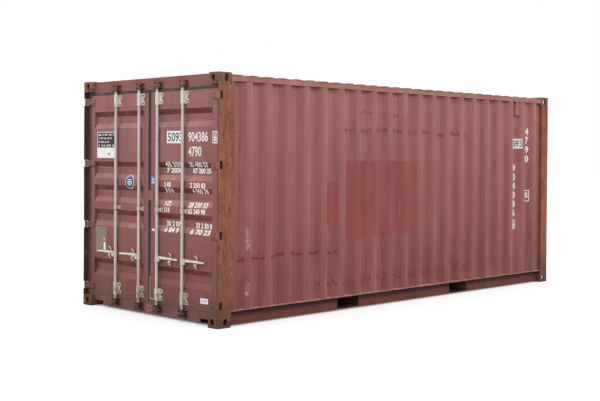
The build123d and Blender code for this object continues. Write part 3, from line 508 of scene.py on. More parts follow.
def low_rail_paint():
    """Bottom rails: maroon and brown with road dirt, painted shade under the wall's lip, and a pale worn
    upper edge.
    """
    s = Surface("low_rail_paint", (112, 58, 51))
    s.fade(s.noise(2.6, 5, 0.62, (1, 1, 0.6)), 0.52, 0.6, (132, 60, 58), 0.8)
    s.fade(s.noise(3.2, 6, 0.68, (1, 1, 0.5)), 0.54, 0.7, (84, 54, 42), 0.8)
    s.tone(s.noise(7, 5, 0.68, (1, 1, 0.5)), 0.22)
    # Painted shade under the wall's lip, over the upper part of the rail
    s.fade(s.z, 0.07, 0.135, (34, 20, 16), 0.88)
    lip = s.times(s.ramp(s.z, 0.158, 0.16), s.ramp(s.math("ABSOLUTE", s.x), 1.18, 1.182))
    s.cover(lip, (150, 98, 88))
    s.cover(s.times(lip, s.cloud(0.4, 0.56, 14, 4, 0.7)), PAINT_WORN, 0.7)
    s.cover(s.specks(52, 0.6, 0.5), RUST, 0.7)
    mottle = s.noise(34, 4, 0.7)
    rusted = s.noise(9, 5, 0.7)
    return painted_finish(s, mottle, rusted)


def lug_rust():
    """Dark brown rust."""
    s = Surface("lug_rust", (108, 70, 52))
    s.fade(s.noise(24, 5, 0.68), 0.46, 0.6, (70, 42, 32), 0.9)
    pits = s.noise(60, 5, 0.72)
    s.fade(pits, 0.58, 0.68, (168, 116, 88), 0.5)
    s.deepen(0.75)
    return s.finish(0.85, [(pits, 0.0012)], specular=0.2)


def post_rust():
    """Thin paint rubbed to brown rust, with dark streaks, greyer near the foot, and painted shade on inward
    faces and on faces towards the doors.
    """
    s = Surface("post_rust", (158, 102, 80))
    patch = s.noise(5, 6, 0.72, (2.2, 2.2, 0.7))
    s.fade(patch, 0.44, 0.58, (132, 86, 60))
    s.fade(s.noise(2.4, 5, 0.66, (1.6, 1.6, 0.8)), 0.48, 0.62, (168, 104, 92), 0.65)
    s.fade(s.noise(4.0, 5, 0.66, (1.5, 1.5, 0.6)), 0.56, 0.66, (182, 98, 66), 0.6)
    s.fade(s.z, 1.2, 0.2, (134, 86, 74), 0.5)
    s.fade(s.z, 0.45, 0.15, (100, 60, 46), 0.55)
    # Painted shade on the inward faces of the posts, and on the left post's faces towards the doors
    s.fade(s.times(s.facing_x, s.math("SIGN", s.x)), -0.5, -0.9, (66, 44, 36), 0.85)
    front = s.ramp(s.facing_y, -0.5, -0.9)
    s.cover(s.times(s.ramp(s.x, 0.0, -0.1), front), (72, 48, 40), 0.75)
    pits = s.noise(44, 6, 0.74, (1, 1, 0.45))
    s.fade(pits, 0.56, 0.65, RUST_DARK, 0.7)
    s.fade(s.noise(14, 5, 0.72, (4, 4, 0.16)), 0.58, 0.68, (78, 46, 36), 0.55)
    s.fade(s.noise(26, 5, 0.72, (1, 1, 0.35)), 0.6, 0.69, (210, 154, 128), 0.55)
    # Painted shade on all faces towards the doors
    s.cover(front, (146, 90, 78), 0.15)
    s.deepen(0.72, front)
    return s.finish(0.86, [(pits, 0.0012), (patch, 0.0014)], specular=0.2)


def casting_rust():
    """Olive-brown pitted rust, darker near the ground, with painted shade on the faces towards the doors."""
    s = Surface("casting_rust", (138, 104, 84))
    patch = s.noise(13, 6, 0.66)
    s.fade(patch, 0.42, 0.6, (110, 82, 62))
    s.fade(s.z, 0.3, 0.0, (92, 60, 45), 0.75)
    pits = s.noise(60, 5, 0.72)
    s.fade(pits, 0.55, 0.68, RUST_DARK, 0.7)
    s.fade(s.noise(20, 4, 0.62), 0.56, 0.7, (176, 126, 98), 0.6)
    # Painted shade on the faces towards the doors
    s.deepen(0.84, s.ramp(s.facing_y, -0.5, -0.9))
    return s.finish(0.86, [(pits, 0.0018), (patch, 0.004)], specular=0.2)


def zinc_coat(name, colour, level):
    """Dull pale grey, with stains and a few rust specks."""
    s = Surface(name, colour)
    crystals = s.node("TexVoronoi", {"Vector": s.place, "Scale": 120.0})["Color"]
    s.tone(s.node("SeparateColor", {0: crystals})[0], 0.05)
    cloud = s.noise(5, 5, 0.64, (1, 1, 0.4))
    s.fade(cloud, 0.5, 0.68, (170, 156, 150), 0.6)
    s.cover(s.within(s.z, 1.12, 1.2, 0.01), (176, 152, 142), 0.5)
    s.cover(s.times(s.ramp(s.z, 0.4, 0.22), s.cloud(0.38, 0.58, 18, 5, 0.7)), (122, 98, 80), 0.75)
    s.cover(s.specks(56, 0.58, 0.46), RUST, 0.8)
    s.deepen(level)
    return s.finish(s.between(cloud, 0.42, 0.72), [(s.noise(30, 4, 0.6), 0.0012)], metal=0.15, specular=0.5)


def forged_iron():
    """Black rust at the ends of the rods, zinc at the height of the handles."""
    s = Surface("forged_iron", (66, 52, 42))
    s.fade(s.z, 1.2, 2.2, (124, 96, 78))
    patch = s.noise(20, 6, 0.66)
    s.fade(patch, 0.46, 0.62, (104, 74, 56), 0.7)
    s.fade(s.noise(36, 5, 0.7), 0.58, 0.68, (190, 176, 158), 0.75)
    middle = s.within(s.z, 0.4, 1.0, 0.1)
    s.cover(middle, (214, 207, 198))
    s.cover(s.times(middle, s.specks(50, 0.58, 0.44)), RUST, 0.8)
    s.deepen(0.8)
    return s.finish(0.7, [(patch, 0.0015)])


def keeper_iron():
    """Red paint like the beams, worn to black rust round the cams."""
    s = Surface("keeper_iron", (156, 102, 94))
    s.fade(s.z, 1.4, 0.4, (122, 74, 66))
    patch = s.noise(16, 6, 0.68)
    s.fade(patch, 0.46, 0.6, RUST, 0.5)
    worn = s.either(*[s.about(s.x, x, 0.052) for x in ROD_X])
    front = s.ramp(s.y, KEEPER_PLATE_Y + 0.001, KEEPER_PLATE_Y - 0.004)
    bare = s.either(s.times(worn, s.ramp(patch, 0.36, 0.5)), front)
    s.cover(bare, s.mix(s.ramp(s.z, 1.2, 2.2), (50, 40, 34), (96, 70, 56)), 0.85)
    s.cover(s.times(s.cloud(0.62, 0.72, 40, 5, 0.72), worn), (196, 172, 150), 0.7)
    s.deepen(0.62)
    return s.finish(0.8, [(patch, 0.002)], specular=0.3)


def old_iron():
    """Bolts and screws: dull dark steel."""
    s = Surface("old_iron", (120, 108, 98))
    s.fade(s.noise(80, 4, 0.7), 0.48, 0.6, (84, 62, 50), 0.8)
    return s.finish(0.6, [(s.noise(120, 3, 0.6), 0.0004)], metal=0.2, specular=0.4)


def catch_zinc():
    """Bright zinc, with painted shade on its sides."""
    s = Surface("catch_zinc", (232, 226, 218))
    s.fade(s.noise(14, 5, 0.66), 0.5, 0.66, (180, 168, 156), 0.6)
    s.cover(s.specks(60, 0.6, 0.46), RUST, 0.8)
    # Painted shade on the faces that look to either side
    s.fade(s.math("ABSOLUTE", s.facing_x), 0.6, 0.9, (120, 96, 84), 0.3)
    return s.finish(0.6, [(s.noise(40, 4, 0.6), 0.0008)], metal=0.1, specular=0.4)


def stay_bar_paint():
    """The seam plate in the door's red, and the stay bar below it in worn zinc."""
    s = Surface("stay_bar_paint", (170, 108, 104))
    s.fade(s.z, 0.9, 0.7, (208, 196, 180))
    s.fade(s.noise(18, 5, 0.68), 0.52, 0.66, (150, 106, 92), 0.6)
    s.deepen(0.72)
    return s.finish(0.65, [(s.noise(40, 4, 0.6), 0.0008)])


def gasket_rubber():
    """Dark rubber, browner at the foot, with painted shade along the left post."""
    s = Surface("gasket_rubber", (80, 74, 64))
    s.fade(s.noise(7, 5, 0.64, (1, 1, 2)), 0.46, 0.62, (110, 98, 82), 0.8)
    s.fade(s.noise(30, 4, 0.7), 0.55, 0.7, (58, 58, 50), 0.6)
    s.cover(s.within(s.x, -0.03, 0.03, 0.002), (60, 62, 58), 0.75)
    s.fade(s.z, 0.3, 0.2, (124, 92, 80), 0.7)
    # Painted shade on the rubber beside the left post
    s.fade(s.x, -1.138, -1.148, (84, 50, 42), 0.75)
    s.deepen(DOOR_DEPTH)
    return s.finish(0.7, [(s.noise(60, 3, 0.6), 0.0006)])


def plywood():
    """Oiled plywood, scuffed dark in places."""
    s = Surface("plywood", (156, 110, 72))
    grain = s.noise(9, 6, 0.66, (8, 0.35, 8), twist=0.4)
    s.fade(grain, 0.36, 0.64, (116, 76, 48))
    s.fade(s.noise(3, 6, 0.7), 0.5, 0.7, (80, 62, 50), 0.55)
    return s.finish(0.6, [(grain, 0.0008)])


def bitumen():
    s = Surface("bitumen", (54, 46, 42))
    s.fade(s.noise(7, 5, 0.66), 0.42, 0.62, (88, 64, 52))
    return s.finish(0.75, [(s.noise(40, 4, 0.6), 0.001)])


def marking(name, colour, worn):
    """Paint of figures and stickers, chipped through to the red."""
    s = Surface(name, colour)
    s.tone(s.noise(12, 4, 0.6), 0.06)
    s.fade(s.noise(70, 5, 0.75), worn, worn + 0.08, PAINT, 0.85)
    return s.finish(0.55, [(s.noise(80, 3, 0.6), 0.0002)])


# Shapes

def add_piece(name, shape, material, body, smooth=35):
    """Turn a bmesh into a piece that rides a body."""
    bmesh.ops.recalc_face_normals(shape, faces=shape.faces)
    mesh = bpy.data.meshes.new(name)
    shape.to_mesh(mesh)
    shape.free()
    mesh.materials.append(material)
    mesh.shade_smooth()
    mesh.set_sharp_from_angle(angle=math.radians(smooth))
    piece = new_object(name, mesh)
    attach(piece, body)
    return piece


def bridge(shape, rings):
    """Join closed rings of points, one after another, and close both ends."""
    loops = [[shape.verts.new(point) for point in ring] for ring in rings]
    for below, above in zip(loops, loops[1:]):
        for k in range(len(below)):
            after = (k + 1) % len(below)
            shape.faces.new((below[k], below[after], above[after], above[k]))
    shape.faces.new(loops[0][::-1])
    shape.faces.new(loops[-1])


def circle(sides):
    return [math.tau * k / sides for k in range(sides)]


def turned(shape, foot, axis, profile, sides):
    """A turned form: its profile gives radius and height above its foot."""
    turn = axis.to_track_quat("Z", "Y").to_matrix()
    rings = []
    for radius, height in profile:
        ring = [Vector((radius * math.cos(a), radius * math.sin(a), height)) for a in circle(sides)]
        rings.append([foot + turn @ point for point in ring])
    bridge(shape, rings)


def bolt(shape, foot, across):
    """A hexagon head on its washer."""
    washer = [(0.72 * across, 0), (0.72 * across, 0.0018), (0.66 * across, 0.0024)]
    turned(shape, foot, OUTWARD, washer, 14)
    head = [(0.56 * across, 0), (0.56 * across, 0.0075), (0.46 * across, 0.0092)]
    turned(shape, foot + OUTWARD * 0.0022, OUTWARD, head, 6)


def rivet(shape, foot, radius):
    dome = [(radius * math.cos(a), 0.55 * radius * math.sin(a)) for a in (0, 0.45, 0.9, 1.3)]
    turned(shape, foot, OUTWARD, dome, 12)


WELD_STEP = 0.007
WELD_RADIUS = 0.003
WELD_RIPPLE = 0.78


def weld(shape, points, outward):
    """A rippled weld bead through some points."""
    arc = [math.pi * step / 4 for step in range(5)]
    for start, end in zip(points, points[1:]):
        span = end - start
        count = max(2, round(span.length / WELD_STEP))
        side = span.normalized().cross(outward)
        rings = []
        for k in range(count + 1):
            middle = start + span * (k / count)
            full = WELD_RADIUS * (1.0 if k % 2 else WELD_RIPPLE)
            rings.append([middle + side * (full * math.cos(a)) + outward * (full * math.sin(a)) for a in arc])
        bridge(shape, rings)


def smooth_line(points, steps=5):
    """Points on an even curve through some points."""
    line = []
    spread = [points[0], *points, points[-1]]
    for before, start, end, after in zip(spread, spread[1:], spread[2:], spread[3:]):
        for k in range(steps):
            t = k / steps
            bend = (2 * before - 5 * start + 4 * end - after) * t
            bend += (3 * start - 3 * end + after - before) * t * t
            line.append(start + (end - before + bend) * t / 2)
    return line + [points[-1]]


def neighbours(points, k):
    """The points before and after one of them, or the end itself at an end."""
    return points[max(k - 1, 0)], points[min(k + 1, len(points) - 1)]


def bent_bar(shape, centre_line, width, thick, rounding=0.0012):
    """A flat bar with rounded edges, bent along a line in y and z."""
    half, rise = width / 2, thick / 2
    corners = [(half, rounding - rise), (half, rise - rounding)]
    corners += [(half - rounding, rise), (rounding - half, rise)]
    corners += [(-side, -up) for side, up in corners]
    rings = []
    for k, point in enumerate(centre_line):
        before, after = neighbours(centre_line, k)
        lift = (after - before).normalized().cross(ACROSS)
        rings.append([point + ACROSS * side + lift * up for side, up in corners])
    bridge(shape, rings)


# Thin films laid on folded sheets: paint marks, labels and plates

FILM = 0.0006
INK = 0.0003
FAR_OUT = 4.0
NUDGE = 0.0001


class Sheet:
    """The outside of some folded sheets, on which flat drawings in x and z are laid."""

    def __init__(self, title, names, across, outward, body, bend_axis):
        self.title = title
        self.across = across
        self.outward = outward
        self.body = body
        points = []
        polygons = []
        levels = set()
        for name in names:
            mesh = NODES[name].data
            polygons += [[len(points) + v for v in face.vertices] for face in mesh.polygons]
            points += [v.co.copy() for v in mesh.vertices]
            levels |= {round(v.co[bend_axis], 5) for v in mesh.vertices}
        self.tree = BVHTree.FromPolygons(points, polygons)
        self.levels = sorted(levels)
        self.bend_normal = UP if bend_axis == 2 else ACROSS

    def surface(self, along, height):
        """The place behind a point of a drawing; a nudge gets past a seam between faces."""
        for nudge in (0, NUDGE, -NUDGE):
            start = self.across * (along + nudge) + self.outward * FAR_OUT + UP * (height + nudge)
            hit = self.tree.ray_cast(start, -self.outward)[0]
            if hit is not None:
                return hit
        raise ValueError(f"nothing to draw on at {along:.3f}, {height:.3f}")

    def bend(self, shape):
        """Cut a drawing where the sheet bends under it."""
        normal = self.bend_normal
        places = [v.co.dot(normal) for v in shape.verts]
        for level in self.levels:
            if min(places) < level < max(places):
                parts = shape.verts[:] + shape.edges[:] + shape.faces[:]
                place = normal * level
                bmesh.ops.bisect_plane(shape, geom=parts, dist=1e-6, plane_co=place, plane_no=normal)

    def lay(self, name, material, *parts, lift=0.0, thick=FILM):
        """Lay a drawing of rectangles, rings, lines and figures on the sheets."""
        shape = bmesh.new()
        for part in parts:
            part(shape)
        self.bend(shape)
        for vert in shape.verts:
            vert.co = self.surface(vert.co.x, vert.co.z) + self.outward * lift
        raised = bmesh.ops.extrude_face_region(shape, geom=shape.faces[:])["geom"]
        front = [item for item in raised if isinstance(item, bmesh.types.BMVert)]
        bmesh.ops.translate(shape, verts=front, vec=self.outward * thick)
        add_piece(f"{self.title}_{name}", shape, material, self.body)


def door_sheet(hand):
    nodes = [f"{hand}_door_{part}" for part in ("panel", "stiles", "rails")]
    return Sheet(f"{hand}_door", nodes, ACROSS, OUTWARD, f"{hand}_door", bend_axis=2)


def inset(box, by):
    left, right, low, high = box
    return left + by, right - by, low + by, high - by


def flat_points(shape, points):
    return [shape.verts.new((x, 0, z)) for x, z in points]


def area(left, right, low, high):
    def add(shape):
        shape.faces.new(flat_points(shape, rectangle(left, right, low, high)))
    return add


def border(left, right, low, high, width):
    def add(shape):
        box = (left, right, low, high)
        outside = flat_points(shape, rectangle(*box))
        inside = flat_points(shape, rectangle(*inset(box, width)))
        for k in range(4):
            after = (k + 1) % 4
            shape.faces.new((outside[k], outside[after], inside[after], inside[k]))
    return add


def oval(x, z, half_x, half_z, sides=40):
    def add(shape):
        rim = [(x + half_x * math.cos(a), z + half_z * math.sin(a)) for a in circle(sides)]
        shape.faces.new(flat_points(shape, rim))
    return add


def stroke(points, width):
    """A line of even width through points in x and z."""
    def add(shape):
        edges = []
        for k, point in enumerate(points):
            before, after = neighbours(points, k)
            along = (Vector(after) - Vector(before)).normalized()
            side = Vector((-along.y, along.x)) * width / 2
            edges.append(flat_points(shape, (Vector(point) + side, Vector(point) - side)))
        for (a, b), (c, d) in zip(edges, edges[1:]):
            shape.faces.new((a, b, d, c))
    return add


def figures(text, left, right, low, high, bold=0.012):
    """Plain figures, fitted into a rectangle."""
    def add(shape):
        curve = bpy.data.curves.new("figures", "FONT")
        curve.body = text
        curve.offset = bold
        curve.resolution_u = 3
        holder = new_object("figures", curve)
        bpy.context.view_layer.update()
        seen = holder.evaluated_get(bpy.context.evaluated_depsgraph_get())
        mesh = bpy.data.meshes.new_from_object(seen)
        bpy.data.objects.remove(holder)
        bpy.data.curves.remove(curve)
        across, upward = zip(*[v.co.xy for v in mesh.vertices])
        wide = (right - left) / (max(across) - min(across))
        tall = (high - low) / (max(upward) - min(upward))
        for vert, x, y in zip(mesh.vertices, across, upward):
            vert.co = (left + (x - min(across)) * wide, 0, low + (y - min(upward)) * tall)
        shape.from_mesh(mesh)
        bpy.data.meshes.remove(mesh)
    return add


def column(text, left, right, low, high, gap=0.22):
    """Figures one under another."""
    step = (high - low) / (len(text) - gap)
    cells = [(figure, high - k * step) for k, figure in enumerate(text)]
    return [figures(figure, left, right, top - step * (1 - gap), top, 0.04) for figure, top in cells]


# Pieces of the doors

LIP_BACK = LEAF_Y + 0.006
LIP_FRONT = LEAF_Y - 0.0025
SIDE_LIP_FRONT = LEAF_Y - 0.0005
PAD_FRONT = LEAF_Y - 0.0015
LIP_ROUNDING = 0.0025
LIP_OUTER = 1.180
TOP_LIP = (2.445, 0.033)
FOOT_LIP = (0.164, 0.038)
SIDE_LIP = (1.162, 0.034)
SIDE_LIP_ENDS = (0.184, 2.427)
SEAM_INNER = 0.0045
LEAF_INNER = 0.024
SEAM_MIDDLE = (SEAM_INNER + LEAF_INNER) / 2
SEAM_WIDTH = LEAF_INNER - SEAM_INNER - 0.001
SEAM_PLATE_LOW = 1.258
SEAM_PLATE_HIGH = 1.364


def strip(shape, hand, start, end, width, front=LIP_FRONT, rounding=LIP_ROUNDING):
    """A flat bar with rounded front edges on a leaf, between two places given across and up."""
    start, end = [Vector((HANDS[hand] * x, LIP_BACK, z)) for x, z in (start, end)]
    side = (end - start).normalized().cross(OUTWARD)
    half, height = width / 2, LIP_BACK - front
    outline = [(-half, 0), (-half, height - rounding), (rounding - half, height)]
    outline += [(half - rounding, height), (half, height - rounding), (half, 0)]
    bridge(shape, [[end + side * across + OUTWARD * up for across, up in outline] for end in (start, end)])


def gasket_lips(hand):
    """The rubber lips all round a leaf, parted at the seam plate."""
    shape = bmesh.new()
    for level, width in (TOP_LIP, FOOT_LIP):
        strip(shape, hand, (SEAM_INNER, level), (LIP_OUTER, level), width)
    low, high = SIDE_LIP_ENDS
    outer, width = SIDE_LIP
    strip(shape, hand, (outer, low), (outer, high), width, SIDE_LIP_FRONT)
    for foot, head in ((low, SEAM_PLATE_LOW), (SEAM_PLATE_HIGH, high)):
        strip(shape, hand, (SEAM_MIDDLE, foot), (SEAM_MIDDLE, head), SEAM_WIDTH)
    add_piece(f"{hand}_door_gasket_lips", shape, rubber, f"{hand}_door")


def seam_pad(hand):
    """The painted pad that closes the seam behind the seam plate."""
    shape = bmesh.new()
    foot = (SEAM_MIDDLE, SEAM_PLATE_LOW + 0.001)
    head = (SEAM_MIDDLE, SEAM_PLATE_HIGH - 0.001)
    strip(shape, hand, foot, head, SEAM_WIDTH, PAD_FRONT, 0.001)
    add_piece(f"{hand}_door_seam_pad", shape, doors_red, f"{hand}_door")


BRACKET_LEVELS = (0.246, 2.356)
BRACKET_PLATE_Y = LEAF_Y - 0.005
BRACKET_BOLTS = [(0.054, 0.041), (0.054, -0.041)]
BRACKET_BOLT = 0.015
GUIDE_LEVEL = 1.161
GUIDE_RIVETS = [(0.064, 0.0135), (0.064, -0.0135), (-0.048, 0.0)]
GUIDE_RIVET = 0.006


def door_bolts(hand):
    """Bolts through the rod brackets, and rivets through the rod guides."""
    shape = bmesh.new()
    for x in [x for x in ROD_X if x * HANDS[hand] > 0]:
        for level in BRACKET_LEVELS:
            for across, up in BRACKET_BOLTS:
                bolt(shape, Vector((x + across, BRACKET_PLATE_Y, level + up)), BRACKET_BOLT)
        for across, up in GUIDE_RIVETS:
            rivet(shape, Vector((x + across, BRACKET_PLATE_Y, GUIDE_LEVEL + up)), GUIDE_RIVET)
    add_piece(f"{hand}_door_bolts", shape, bolt_iron, f"{hand}_door")


BLADE_FRONT_Y = LEAF_Y - 0.012
BLADE_BOLTS_IN = (0.018, 0.062)
BLADE_BOLTS_UP = (-0.019, 0.019)
BLADE_BOLT = 0.010
EAR_TOP = 0.051
PIN_X = 1.197
PIN_Y = -3.009
PIN_HEAD = [(0.0105, 0), (0.0105, 0.004), (0.008, 0.0065)]
PIN_END = [(0.009, 0), (0.009, 0.003), (0.006, 0.005)]


def hinge_bolts(hand):
    low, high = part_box(f"{hand}_door_hinges")
    blade_end = min(abs(low.x), abs(high.x))
    shape = bmesh.new()
    for level in HINGE_LEVELS:
        for inward in BLADE_BOLTS_IN:
            for up in BLADE_BOLTS_UP:
                x = HANDS[hand] * (blade_end + inward)
                bolt(shape, Vector((x, BLADE_FRONT_Y, level + up)), BLADE_BOLT)
    add_piece(f"{hand}_door_hinge_bolts", shape, doors_red, f"{hand}_door")


def hinge_pin_heads():
    shape = bmesh.new()
    for sign in HANDS.values():
        for level in HINGE_LEVELS:
            for rise, axis, profile in ((EAR_TOP, UP, PIN_HEAD), (-EAR_TOP, -UP, PIN_END)):
                turned(shape, Vector((sign * PIN_X, PIN_Y, level + rise)), axis, profile, 16)
    add_piece("hinge_pin_heads", shape, post_brown, "container_body")


PANEL_INNER = 0.104
PANEL_OUTER = 1.062
PANEL_LOW = 0.328
PANEL_HIGH = 2.285
TROUGH_TOPS = (2.240, 1.672, 1.406, 1.127, 0.558)
TROUGH_SLOPE = 0.057
TROUGH_FLOOR = 0.078
TROUGH_DEPTH = 0.036


def trough_line():
    """Depth behind the leaf's face and height along the folded panel, from its top to its foot."""
    points = [(0.0, PANEL_HIGH)]
    for top in TROUGH_TOPS:
        floor_top = top - TROUGH_SLOPE
        floor_foot = floor_top - TROUGH_FLOOR
        points += [(0.0, top), (TROUGH_DEPTH, floor_top), (TROUGH_DEPTH, floor_foot)]
        points.append((0.0, floor_foot - TROUGH_SLOPE))
    return points + [(0.0, PANEL_LOW)]


def door_welds(hand):
    """Weld beads where the folded panel meets its stiles and rails."""
    sign = HANDS[hand]
    shape = bmesh.new()
    for x in (PANEL_INNER, PANEL_OUTER):
        weld(shape, [Vector((sign * x, LEAF_Y + depth, z)) for depth, z in trough_line()], OUTWARD)
    for z in (PANEL_LOW, PANEL_HIGH):
        weld(shape, [Vector((sign * x, LEAF_Y, z)) for x in (PANEL_INNER, PANEL_OUTER)], OUTWARD)
    add_piece(f"{hand}_door_welds", shape, doors_red, f"{hand}_door", smooth=60)


CATCH_HALF = 0.028
CATCH_BELOW_HANDLE = 0.057
CATCH_ABOVE_PLATE = 0.010
CATCH_PLATE = 0.005
CATCH_CORNER = 0.008
CATCH_BOLT_SIDE = 0.018
CATCH_BOLT_IN = 0.014
CATCH_BOLT = 0.011
HOOK_THICK = 0.006
# Middle lines of the hooks, out from the leaf and up from the handle
UPPER_HOOK = [
    (0.003, 0.036), (0.010, 0.043), (0.0115, 0.057),
    (0.016, 0.069), (0.026, 0.0755), (0.0345, 0.071),
]
LOWER_HOOK = [
    (0.003, -0.0075), (0.024, -0.0075), (0.0345, -0.015),
    (0.032, -0.029), (0.022, -0.039), (0.020, -0.052),
]
# Each hook with the places of its prongs and their width
HOOKS = [(UPPER_HOOK, (0.0,), 0.020), (LOWER_HOOK, (-0.0105, 0.0105), 0.009)]


def catch_plate(shape, x, foot, head):
    """A plate with cut corners and a bolt near each."""
    half, cut = CATCH_HALF, CATCH_CORNER
    outline = [(-half, foot + cut), (cut - half, foot), (half - cut, foot), (half, foot + cut)]
    outline += [(half, head - cut), (half - cut, head), (cut - half, head), (-half, head - cut)]
    bridge(shape, [[Vector((x + side, LEAF_Y - out, z)) for side, z in outline] for out in (0, CATCH_PLATE)])
    for z in (foot + CATCH_BOLT_IN, head - CATCH_BOLT_IN):
        for side in (-CATCH_BOLT_SIDE, CATCH_BOLT_SIDE):
            bolt(shape, Vector((x + side, LEAF_Y - CATCH_PLATE, z)), CATCH_BOLT)


def handle_catches(hand):
    """A curled hook above each handle, a forked one below, on a plate."""
    low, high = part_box(f"{hand}_door_catches")
    hooks = bmesh.new()
    plates = bmesh.new()
    level = low.z + CATCH_BELOW_HANDLE
    for x in (low.x + CATCH_HALF, high.x - CATCH_HALF):
        for line, prongs, width in HOOKS:
            for aside in prongs:
                points = [Vector((x + aside, LEAF_Y - out, level + up)) for out, up in line]
                bent_bar(hooks, smooth_line(points), width, HOOK_THICK)
        catch_plate(plates, x, low.z, high.z - CATCH_ABOVE_PLATE)
    add_piece(f"{hand}_door_catch_plates", plates, doors_red, f"{hand}_door")
    piece = add_piece(f"{hand}_door_catch_hooks", hooks, catch_pale, f"{hand}_door")
    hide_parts(f"{hand}_door_catches")


# Figures, labels and plates: plain numbers, each placed by left, right, low and high

# Rows of small figures: their foot, the near text and its right end, the far text and both its ends
NEAR_COLUMN = 0.262
ROW_HEIGHT = 0.055
SMALL_ROWS = [
    (1.622, "48 350", 0.54, "30 480 57", 0.67, 0.98),
    (1.560, "7 2038", 0.54, "67 200 25", 0.71, 1.00),
    (1.408, "2 405", 0.38, "2 250 83", 0.70, 0.95),
    (1.348, "8 0 6", 0.40, "4 960 78", 0.72, 0.98),
    (1.203, "9 372", 0.37, "28 230 53", 0.67, 0.98),
    (1.138, "5 0 8", 0.35, "62 240 98", 0.67, 0.95),
    (0.992, "35 2 07", 0.51, "33 2 50 8", 0.76, 1.02),
    (0.925, "6 84 9", 0.50, "6 70 23", 0.70, 1.02),
]


def right_door_marks(sheet):
    large = [
        figures("904386", 0.669, 0.990, 1.889, 1.991),
        figures("4790", 0.670, 0.884, 1.735, 1.840),
        figures("6", 1.084, 1.122, 1.890, 1.978, 0.03),
        border(1.064, 1.140, 1.872, 1.995, 0.011),
    ]
    sheet.lay("large_figures", white_mark, *large)
    sheet.lay("block", white_mark, area(0.303, 0.588, 1.875, 2.006))
    block = figures("5093", 0.322, 0.572, 1.893, 1.988)
    sheet.lay("block_figures", dark_mark, block, lift=FILM)
    rows = []
    for foot, near_text, near_end, far_text, far_start, far_end in SMALL_ROWS:
        rows.append(figures(near_text, NEAR_COLUMN, near_end, foot, foot + ROW_HEIGHT, 0.03))
        rows.append(figures(far_text, far_start, far_end, foot, foot + ROW_HEIGHT, 0.03))
    sheet.lay("small_figures", white_mark, *rows)
    sheet.lay("low_label", white_mark, area(0.881, 1.005, 0.223, 0.279))
    label = figures("4 07", 0.893, 0.993, 0.236, 0.268, 0.0)
    sheet.lay("low_label_figures", blue_mark, label, lift=FILM)
    sheet.lay("chip", white_mark, oval(0.071, 0.939, 0.029, 0.012))
    sheet.lay("sticker", sky_mark, area(0.026, 0.103, 1.435, 1.513))
    marks = [figures("25", 0.044, 0.086, 1.466, 1.500, 0.02), area(0.036, 0.093, 1.445, 1.453)]
    sheet.lay("sticker_figures", white_mark, *marks, lift=FILM)


SIGN = (-1.014, -0.648, 1.712, 2.010)
SIGN_THICK = 0.001
SIGN_EDGE = 0.008
SIGN_STRIP = 0.119
SIGN_LINES = ("68 4 09 35 7", "2 70 96 48 5", "39 506 8 27", "7 04 83 2")
SIGN_LINE_PITCH = 0.041
SIGN_MARGIN = 0.022
OVAL_X = -0.372
OVAL_Z = 1.445
# Bars across the oval: their height from its middle and half their length
OVAL_BARS = [(0.028, 0.030), (0.009, 0.044), (-0.010, 0.044), (-0.029, 0.030)]
PLATE = (-1.034, -0.814, 0.651, 0.918)
PLATE_THICK = 0.0015
PLATE_RIM = 0.006
RIM_THICK = 0.0012
PLATE_RIVET = 0.005
PLATE_RIVET_IN = 0.015


def left_door_sign(sheet):
    """A dark field with pale lines of figures over a white strip with a note."""
    left, right, low, high = SIGN
    sheet.lay("sign", white_mark, area(*SIGN), thick=SIGN_THICK)
    field = area(left + SIGN_EDGE, right - SIGN_EDGE, low + SIGN_STRIP, high - SIGN_EDGE)
    sheet.lay("sign_field", sign_black, field, lift=SIGN_THICK, thick=INK)
    lines = []
    for k, text in enumerate(SIGN_LINES):
        top = high - SIGN_MARGIN - SIGN_LINE_PITCH * k
        end = right - 0.024 - 0.05 * (k % 3)
        lines.append(figures(text, left + SIGN_MARGIN, end, top - SIGN_MARGIN, top, 0.02))
    sheet.lay("sign_lines", white_mark, *lines, lift=SIGN_THICK + INK, thick=INK)
    note = figures("08", -0.800, -0.757, low + 0.034, low + 0.060)
    sheet.lay("sign_note", dark_mark, note, lift=SIGN_THICK)


def left_door_oval(sheet):
    sheet.lay("oval", white_mark, oval(OVAL_X, OVAL_Z, 0.080, 0.0755))
    sheet.lay("oval_field", blue_mark, oval(OVAL_X, OVAL_Z, 0.073, 0.068), lift=FILM, thick=INK)
    bars = []
    for up, reach in OVAL_BARS:
        bars.append(stroke([(OVAL_X - reach, OVAL_Z + up), (OVAL_X + reach, OVAL_Z + up)], 0.009))
    sheet.lay("oval_bars", white_mark, *bars, lift=FILM + INK, thick=INK)


def left_door_plate(sheet):
    """The grey plate by the handle, with its rim, a tag, a pale spot and rivets."""
    sheet.lay("plate", plate_green, area(*PLATE), thick=PLATE_THICK)
    rim = border(*inset(PLATE, PLATE_RIM), PLATE_RIM)
    sheet.lay("plate_rim", plate_green, rim, lift=PLATE_THICK, thick=RIM_THICK)
    sheet.lay("tag", white_mark, area(-0.874, -0.838, 0.663, 0.745), lift=PLATE_THICK)
    sheet.lay("spot", cream_mark, oval(-0.862, 0.785, 0.014, 0.018), lift=PLATE_THICK)
    left, right, low, high = inset(PLATE, PLATE_RIVET_IN)
    shape = bmesh.new()
    for x in (left, right):
        for z in (low, high):
            rivet(shape, sheet.surface(x, z) + OUTWARD * (PLATE_THICK + RIM_THICK), PLATE_RIVET)
    add_piece("left_door_plate_rivets", shape, zinc, "left_door")


SCRIBBLE_X = -0.058
SCRIBBLE_Z = 0.080
SCRIBBLE_LENGTH = 0.095
SCRIBBLE_RADIUS = 0.036
SCRIBBLE_LOOPS = 2.2
SCRIBBLE_POINTS = 70


